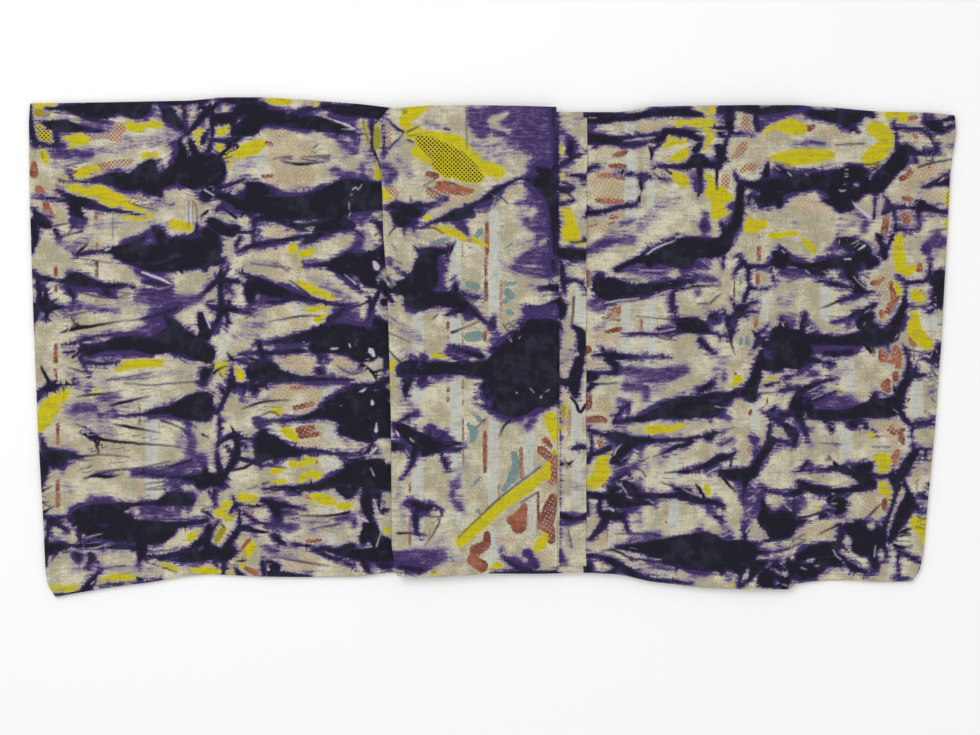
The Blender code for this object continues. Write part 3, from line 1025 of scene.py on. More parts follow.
dye 212 530 1.6  218 522 .8
bare 229 532 3  231 526 2.6
yellow 218 512 4  227 516 5
yellow 226 508 5  238 502 6  246 500 5  258 501 3
olive 232 514 4  238 510 3
brick 250 512 3.5
tan 258 512 5
olive 222 530 3  216 540 3
brick 220 532 1.4  214 546 2
brick 249 540 2  240 552 2
yellow 252 546 3  242 560 5  236 568 4
brick 244 568 2  256 574 3
yellow 210 572 3  220 571 4
yellow 226 571 3.6  234 571 3.6
tan 214 568 3
yellow 284 430 3  290 434 4  297 441 1.5
brick 298 430 3  312 428 3
brick 300 436 3  318 434 2
tan 300 444 6  314 444 6
tan 306 428 6  318 432 5
pale 330 434 8
yellow 292 464 3  302 461 4.5  312 461 3
brick 316 462 2
yellow 304 478 4  314 477 5.5  322 478 3
yellow 300 482 1.6
yellow 272 472 2  280 470 2
yellow 272 484 2  284 482 1.6
pale 330 462 7  331 474 6
brick 304 497 1.2  314 498 1.6
yellow 312 496 2  324 500 4.4  334 503 1.6
yellow 340 506 3  350 506 2
tan 286 510 4  306 510 5
tan 300 540 4  316 540 4
brick 306 542 1.6  320 541 1.8
tan 290 568 5  312 566 5
tan 284 556 3  310 554 5
pale 330 540 7
pale 344 500 5
yellow 387 531 2.4
"""
# In FLAP, the straight dye row at y 573, from x 492 to 557, is painted shade beneath the flap's front
# edge.
FLAP = """
dye 384 104 3  382 112 1.6
olive 378 132 5  377 146 4
dye 383 118 .8  384 140 1.2  384 156 .8
lattice 388 124 3  388 148 3
wash 383 162 3  385 176 3
wash 471 112 5  480 122 12  482 130 9
wash 488 112 8  520 112 10  545 114 12
wash 500 128 10  530 132 14  548 140 14
wash 514 118 8  534 122 14  548 128 12
haze 506 122 3
haze 474 146 6  490 150 8  506 144 6
haze 480 158 3  510 152 6  528 150 6
wash 512 142 5  530 148 8
bare 508 113 1.4  497 118 3.4  491 122 3.4  498 127 3  509 131 1.4
dye 536 168 2  546 174 7  552 186 7
wash 534 150 6  544 160 10  550 176 12
dye 522 178 .8  534 181 5  545 186 9  552 200 6  554 222 4  555 256 2
dye 553 108 2  555 140 1.6  555 170 3
wash 536 166 10  540 196 14  548 226 14  546 250 12
bare 504 170 7  516 166 7
haze 500 162 5
wash 517 204 2  534 200 5
haze 520 214 5  524 226 4
wash 528 222 6  536 230 4
bare 533 211 4
haze 518 246 3  534 240 4
wash 520 262 6  538 256 10  550 262 14
wash 512 268 3  530 272 5  548 272 8
haze 500 258 3  506 268 4
dye 553 262 3  554 272 2
bare 540 244 1.6  552 238 1
dye 524 177 .7  512 182 1.4  500 188 2.6  489 197 3.4  478 203 2  466 210 4
dye 470 212 4  458 215 6  447 218 3.4  436 221 1.6  424 226 .6
wash 480 208 3  490 202 6  499 192 5
line 486 210 .6  496 198 1
line 478 212 1  488 212 .6
line 500 196 .6  508 204 .8
light 497 196 .8  491 208 .8
haze 472 216 4
dye 461 223 .8  466 230 1.4  469 238 .6
wash 456 222 3  464 228 3
dye 388 208 2  396 206 4  408 212 8.5  416 211 7
dye 394 214 3  400 222 5  412 222 4
dye 404 224 1.6  404 234 .6
dye 416 205 2.6  430 204 1.2  447 199 .5
line 418 208 1  434 205 .8  447 201 .4
wash 420 214 3  430 208 2
bare 403 202 1.4
line 398 206 1.2  396 198 .6
line 412 204 1  410 196 .5
line 388 236 .5  396 226 1.2
haze 420 224 5  416 236 4
line 424 186 .5  436 179 .5
line 424 186 .8  437 193 .7  449 200 .8
haze 390 124 4  398 132 3
line 386 118 .6  396 128 1.2  405 133 1.2
line 408 132 1  420 126 .5
line 404 134 .5  396 142 1  388 150 .8
line 407 140 1  414 143 .8
haze 400 144 3  388 150 4
wash 386 166 5  392 174 6  388 182 5
haze 400 160 5  410 176 6
haze 424 122 3  436 126 5
haze 446 130 5
line 444 129 1  450 130 1
line 466 108 .3  467 150 .3
line 424 226 .5  436 229 .8  444 234 .4
line 413 246 .8  420 252 1.4
line 456 240 .5  452 248 1.4  449 256 1
dye 419 251 1  432 251 4  445 252 2.6  450 246 1.2
dye 430 256 9  426 268 12  424 280 15  414 290 13
dye 412 286 10  400 288 7  388 289 3
wash 438 262 5  441 276 5  438 290 6
dye 446 250 2  448 262 1
dye 441 266 1  446 268 .5
dye 388 262 .5  398 270 .9  408 276 1.6
dye 387 278 1  394 284 2
line 390 258 .3  402 264 .5
light 391 281 .7  396 285 .7
light 389 286 .6  392 288 .6
dye 410 302 6  420 300 10  436 299 8  452 300 8  464 306 6  474 313 3.4  484 321 1.8  497 332 .5
dye 454 279 .8  456 290 3.4
dye 462 294 2  474 297 1  482 298 .4
line 468 308 1  480 296 .6
wash 412 309 5  422 305 5
dye 446 315 .7  460 311 2.6  470 314 2
wash 466 318 3  472 312 4
bare 399 298 3.2
bare 413 299 1
dye 388 296 3  393 302 1.4
line 438 314 1  432 320 .5
wash 494 318 3  490 328 2
dye 492 322 1.8  496 328 1
haze 402 330 5  414 336 6  424 342 3
haze 390 322 3  398 316 2
line 388 332 .5  400 338 .5  410 342 .3
line 388 316 .4  404 326 .3
haze 404 350 3  414 354 3
line 451 333 1.4  464 328 .7  480 321 .7
line 384 345 .4  394 356 .9  406 368 1
dye 450 345 .5  458 349 1.6  466 352 2.6  482 356 3
dye 445 354 .8  456 358 1.6  468 361 1.2
wash 448 350 2  462 350 3  476 350 3
dye 402 368 5  412 368 8  428 369 7  446 368 6.4  470 369 7  488 370 10
dye 410 358 .8  414 363 2.4
dye 423 355 .8  424 364 2.4
dye 398 372 2  402 375 3
bare 419 364 1.2
haze 420 359 5  436 362 3
dye 408 380 5  405 389 4  407 397 .8
bare 403 383 1.4  401 388 .8
dye 420 382 3  426 378 2
wash 436 379 3  450 378 2  424 384 2
dye 494 350 4  504 352 6  516 340 10
wash 494 340 5  506 342 7  500 350 8
dye 500 366 14  522 360 26  546 356 26
dye 500 384 14  520 384 20  544 386 22
dye 504 402 13  518 406 12  530 400 10
dye 534 330 12  548 332 14
dye 520 322 1  526 332 6
wash 530 316 8  544 312 10  553 316 9
dye 522 308 .8  534 308 1.2  546 305 1.2  557 301 2
wash 548 304 3  555 308 6
line 508 322 .7  518 330 .8
line 503 324 .7  512 336 .8
line 514 320 .6  524 326 .8
bare 526 295 6  540 298 8  553 296 4
bare 510 308 5  512 314 6
dye 541 288 1.2  551 288 3  556 288 4
haze 532 286 5  544 294 3
light 523 335 1
light 519 338 1
light 517 393 1.6
light 508 338 .6  512 342 .6
dye 484 384 3  488 398 3
dye 478 386 .7  486 390 2
dye 476 404 .6  488 408 1.4  498 410 3
dye 478 397 .6  490 397 2
bare 488 391 1
bare 486 404 2.4  490 406 1.4
line 486 406 1.6  488 406 1.2
wash 484 392 4  494 412 4  508 420 4
dye 536 404 5  548 403 3  556 403 2
wash 540 392 8  534 416 5  528 426 4
light 541 397 1.6
light 545 392 .7  550 389 .6
light 534 393 .6  530 388 .6
wash 506 414 6  520 418 5
line 500 436 .4  504 426 1.2  512 419 1
line 486 418 .8  476 428 .6
haze 524 430 4
dye 394 424 2.4  404 430 6  414 438 8  426 444 9.5  438 446 7  448 446 3.4
dye 448 444 3  458 443 1.6  466 445 .5
dye 446 450 1.4  458 450 1.4  466 446 .5
dye 402 420 1.6  408 416 1.6  416 414 .5
dye 392 446 5  402 447 3.4
dye 414 452 4  412 464 2  402 478 .5
dye 430 434 2  430 428 .7
dye 440 438 2  446 432 .6
dye 424 454 3  432 452 1.4
dye 441 454 1  445 462 2  447 470 1
line 444 466 1  452 462 1
wash 404 440 6  414 454 5  398 430 5
wash 446 444 7  430 430 5
light 396 431 1.2  399 436 1.2
light 410 438 .8  414 442 1
light 406 450 .8  410 456 .6
haze 402 402 5  414 410 6
haze 448 460 4
haze 400 482 4  398 498 4
haze 454 470 3  466 466 3
wash 452 484 3  458 486 3.4
wash 460 474 1.4  452 494 3  460 508 4
haze 458 496 5  464 514 4
dye 408 502 1.4  416 504 3.4  424 508 4  434 506 1.8  440 508 1
wash 412 504 4  424 512 5
dye 416 512 3.4  416 524 2.6  417 534 1.4
line 440 508 1  442 516 1.2  436 517 .8  424 514 1
line 397 533 1.4  410 533 1  428 535 .7
line 440 521 1  432 536 .7  424 546 .3
haze 404 520 4  402 502 3
haze 444 536 4  436 546 4
wash 394 556 6  408 560 11  424 560 12  440 556 8
dye 400 566 2  420 570 3
haze 448 550 6  452 560 5
haze 462 560 3
bare 406 542 4  398 546 2.6
dye 500 553 .6  508 561 1.4  518 567 2.4  530 570 2
wash 514 558 4  524 566 5  534 562 5
wash 524 554 3  530 552 3
dye 528 552 .8  536 568 1.4
dye 492 573 1  520 573 1.6  557 573 1.6
haze 502 548 3
node 463 268 14
node 413 338 16
node 500 262 18
node 540 396 12
yellow 426 104 4  416 110 6  407 118 5
yellow 404 122 4  408 131 2.4
yellow 416 128 2  410 136 3.4
olive 405 112 3
dotted 420 140 5  430 146 9  446 156 12  460 166 13  472 174 9  480 178 4
dotted 436 164 5  448 172 6
yellow 420 134 3  440 138 4.5  456 140 4  464 146 4
yellow 428 160 3  416 152 4
yellow 470 152 5  484 166 5  498 172 6
rust 422 148 1  430 156 1
rust 427 137 .8  436 142 .8
rust 428 174 2.6  436 176 3.4
rust 438 184 2.4  448 187 5.4  462 191 4.4  475 191 .8
brick 436 188 2  446 192 2
lattice 388 190 4  396 194 3
lattice 428 192 2.4  438 198 2.4
tan 430 190 5  450 198 6  470 196 4
yellow 384 193 3  391 202 2
yellow 427 218 3
yellow 427 226 1  440 229 2.6  455 233 2.6  464 237 3.4  476 241 1.6  487 246 .5
rust 487 223 1.8  487 254 1.8
rust 502 225 .7  502 229 .7
tan 507 198 4  514 190 4
teal 392 244 1.6  396 250 1.8
teal 432 244 2.4  444 240 3
teal 474 240 1.4  480 232 4
teal 468 246 1.4  471 248 1.4
teal 505 249 1.3  513 243 1.3
rust 449 236 .8  448 242 .8
rust 463 242 .6  463 256 .6
rust 486 258 1.3  486 276 1.3
rust 486 282 1.8  486 300 1.8
tan 485 302 1.4  485 312 1.2
rust 501 281 1  501 318 .9
teal 468 284 3.4  476 287 4.4
teal 504 282 1.2  516 282 1.2
teal 504 286 1  517 286 1
teal 507 292 4  511 296 4
teal 505 302 3
teal 509 312 3.4  514 314 1.6
tan 524 280 1  524 306 1
rust 448 323 1.5  448 328 1.5
rust 448 336 .9  448 338 .9
rust 448 345 1.4  448 349 1.4
rust 448 388 1.5  448 391 1.5
rust 448 398 1.4  448 401 1.4
tan 448 380 1  448 384 1
tan 449 410 1.2  448 436 1.2
rust 463 321 .8  463 325 .8
rust 463 333 .8  463 344 .8
rust 463 380 .8  463 388 .8
rust 463 400 .6  463 404 .6
rust 463 418 .5  463 466 .5
teal 469 337 5  478 336 5.4
rust 485 332 1.7  485 340 1.7
yellow 436 356 3  444 355 2.6
olive 400 362 2  406 362 2
yellow 392 367 4  396 364 3
yellow 386 380 2.6  389 386 2
teal 468 424 2  474 432 4.4  472 440 3
teal 472 412 1  480 420 3
rust 485 432 1.7  485 448 2  485 472 1.4
rust 484 420 1  484 424 1
rust 521 448 1.4  521 478 1.4
teal 514 454 3.4  516 466 4.6  512 478 5
teal 508 484 3.4  503 490 2
rust 499 484 .9  499 500 .6
rust 499 434 .8  499 440 .6
teal 480 478 2  472 486 1
teal 478 510 2.4  482 516 1.6
rust 486 514 1.2
pale 494 214 5  494 420 5.4  493 510 5
pale 455 244 6  456 440 6  458 520 4
pale 418 310 6  418 400 6
pale 418 460 6  418 556 6
pale 529 420 4.6  529 472 4.6
pale 532 504 3.4  532 534 3.4
pale 494 536 4.4  494 566 4.4
pale 548 200 2
rust 410 470 .8  410 476 .8
rust 410 484 .8  410 492 .8
rust 410 516 .8  410 544 1
rust 424 532 .8  424 540 .8
tan 425 470 .5  425 515 .5
yellow 550 418 5.4  552 428 4  555 440 1.4
yellow 547 467 1.6  543 474 3.8  530 485 5
yellow 530 485 5  500 506 5  472 531 5.2  461 541 4.8
yellow 548 464 1.4  548 478 1.4
line 541 466 .6  502 496 .8  480 516 .7  458 538 .4
line 538 492 .8  520 503 .4
rust 545 440 3  551 446 2
brick 541 450 4  548 456 4.4
brick 553 458 5  553 480 5
olive 554 452 2
brick 553 498 4.4  549 512 7  546 526 6
brick 550 530 5  551 540 4
brick 542 520 2
tan 546 488 4  542 500 4
tan 548 556 8  544 566 6
rust 538 492 1.2  538 528 1.2
rust 520 516 6.4  519 526 7.4  524 506 3
rust 511 520 4.4
yellow 541 544 5  545 536 2.4
yellow 536 549 2.4
tan 510 540 6  500 540 5
rust 502 546 1.3  506 552 1
rust 487 534 3  486 544 4.4  476 550 6
rust 472 560 5  482 566 6
tan 474 548 1.4  486 562 1.4
yellow 497 567 4.4  492 569 2
olive 434 571 3
tan 448 572 5
"""
# In LEDGE, the dye row down x 558, beside the flap's cut end, is a painted shadow of the flap on the
# ledge; the dye row at y 571 is painted shade beneath the ledge's front edge.
LEDGE = """
dye 558 110 2.4  572 111 2.4  588 113 1.6
haze 566 130 5  570 142 6
wash 566 134 3  572 146 4.4
dye 571 142 3  570 152 4
dye 558 168 .8  566 162 2.4  576 156 1.8  588 152 1
haze 576 124 4
dye 565 176 .6  577 176 1.6  588 178 2.6
haze 584 184 4
dye 558 189 2.4  566 190 3  574 189 1.4
line 566 191 1.2  574 199 .8
line 562 182 1.4  574 186 .8
dye 558 204 1.4  567 203 1.6  572 201 .8
dye 588 214 3  586 218 1
line 569 242 1  580 242 1  588 240 1.4
dye 584 238 1.6
dye 558 252 5  570 254 6.4  586 255 5
bare 578 248 1.4
dye 561 262 1.6  563 276 2.4  564 292 2
dye 558 300 4  562 308 5  560 318 3
dye 558 322 2  562 330 1
haze 575 262 6  584 270 5
bare 576 270 5
dye 566 281 2.6  574 280 1.4  584 285 1
dye 588 290 3
line 574 296 1  572 324 .8
dye 573 326 1.4  580 332 4  583 344 5  580 356 4.4  577 370 6  574 384 6  576 398 1.4
bare 576 344 2.4
bare 576 354 3.4
haze 570 350 4  566 366 3
dye 558 379 2.4  566 383 3.4  574 380 4
bare 560 390 2
line 570 396 1.2  576 404 1.4  580 413 1.4  586 404 1.4
dye 572 449 1  578 447 2  588 447 1
line 576 440 .6  580 454 .8
line 559 464 1.2  568 464 1.6  574 460 .6
line 564 458 .7  568 470 .5
haze 574 486 4  580 488 3
dye 559 514 2.4  568 518 3.4  578 518 2.4  588 516 3.4
wash 562 524 3  574 522 4
haze 566 536 4  570 544 4
line 568 528 .6  572 548 .6
wash 560 552 3  564 562 4
dye 558 571 2  574 571 1.8  590 572 2
dye 558 112 1  558 568 1
node 576 270 9
yellow 560 152 3
olive 561 146 2
yellow 560 172 3.4  560 180 3
tan 572 168 6  580 166 5
tan 570 182 4
yellow 562 196 3.4
yellow 563 210 6  566 222 8.4  570 234 8  576 240 4
yellow 582 246 2.4
pale 580 290 5  580 322 5
pale 577 392 5  577 500 5.4
tan 566 396 3  566 440 3
tan 584 410 1  584 500 1
olive 562 408 4  563 416 2
yellow 561 428 3
tan 572 300 1.4  572 312 1.4
rust 569 410 1  569 436 1
"""
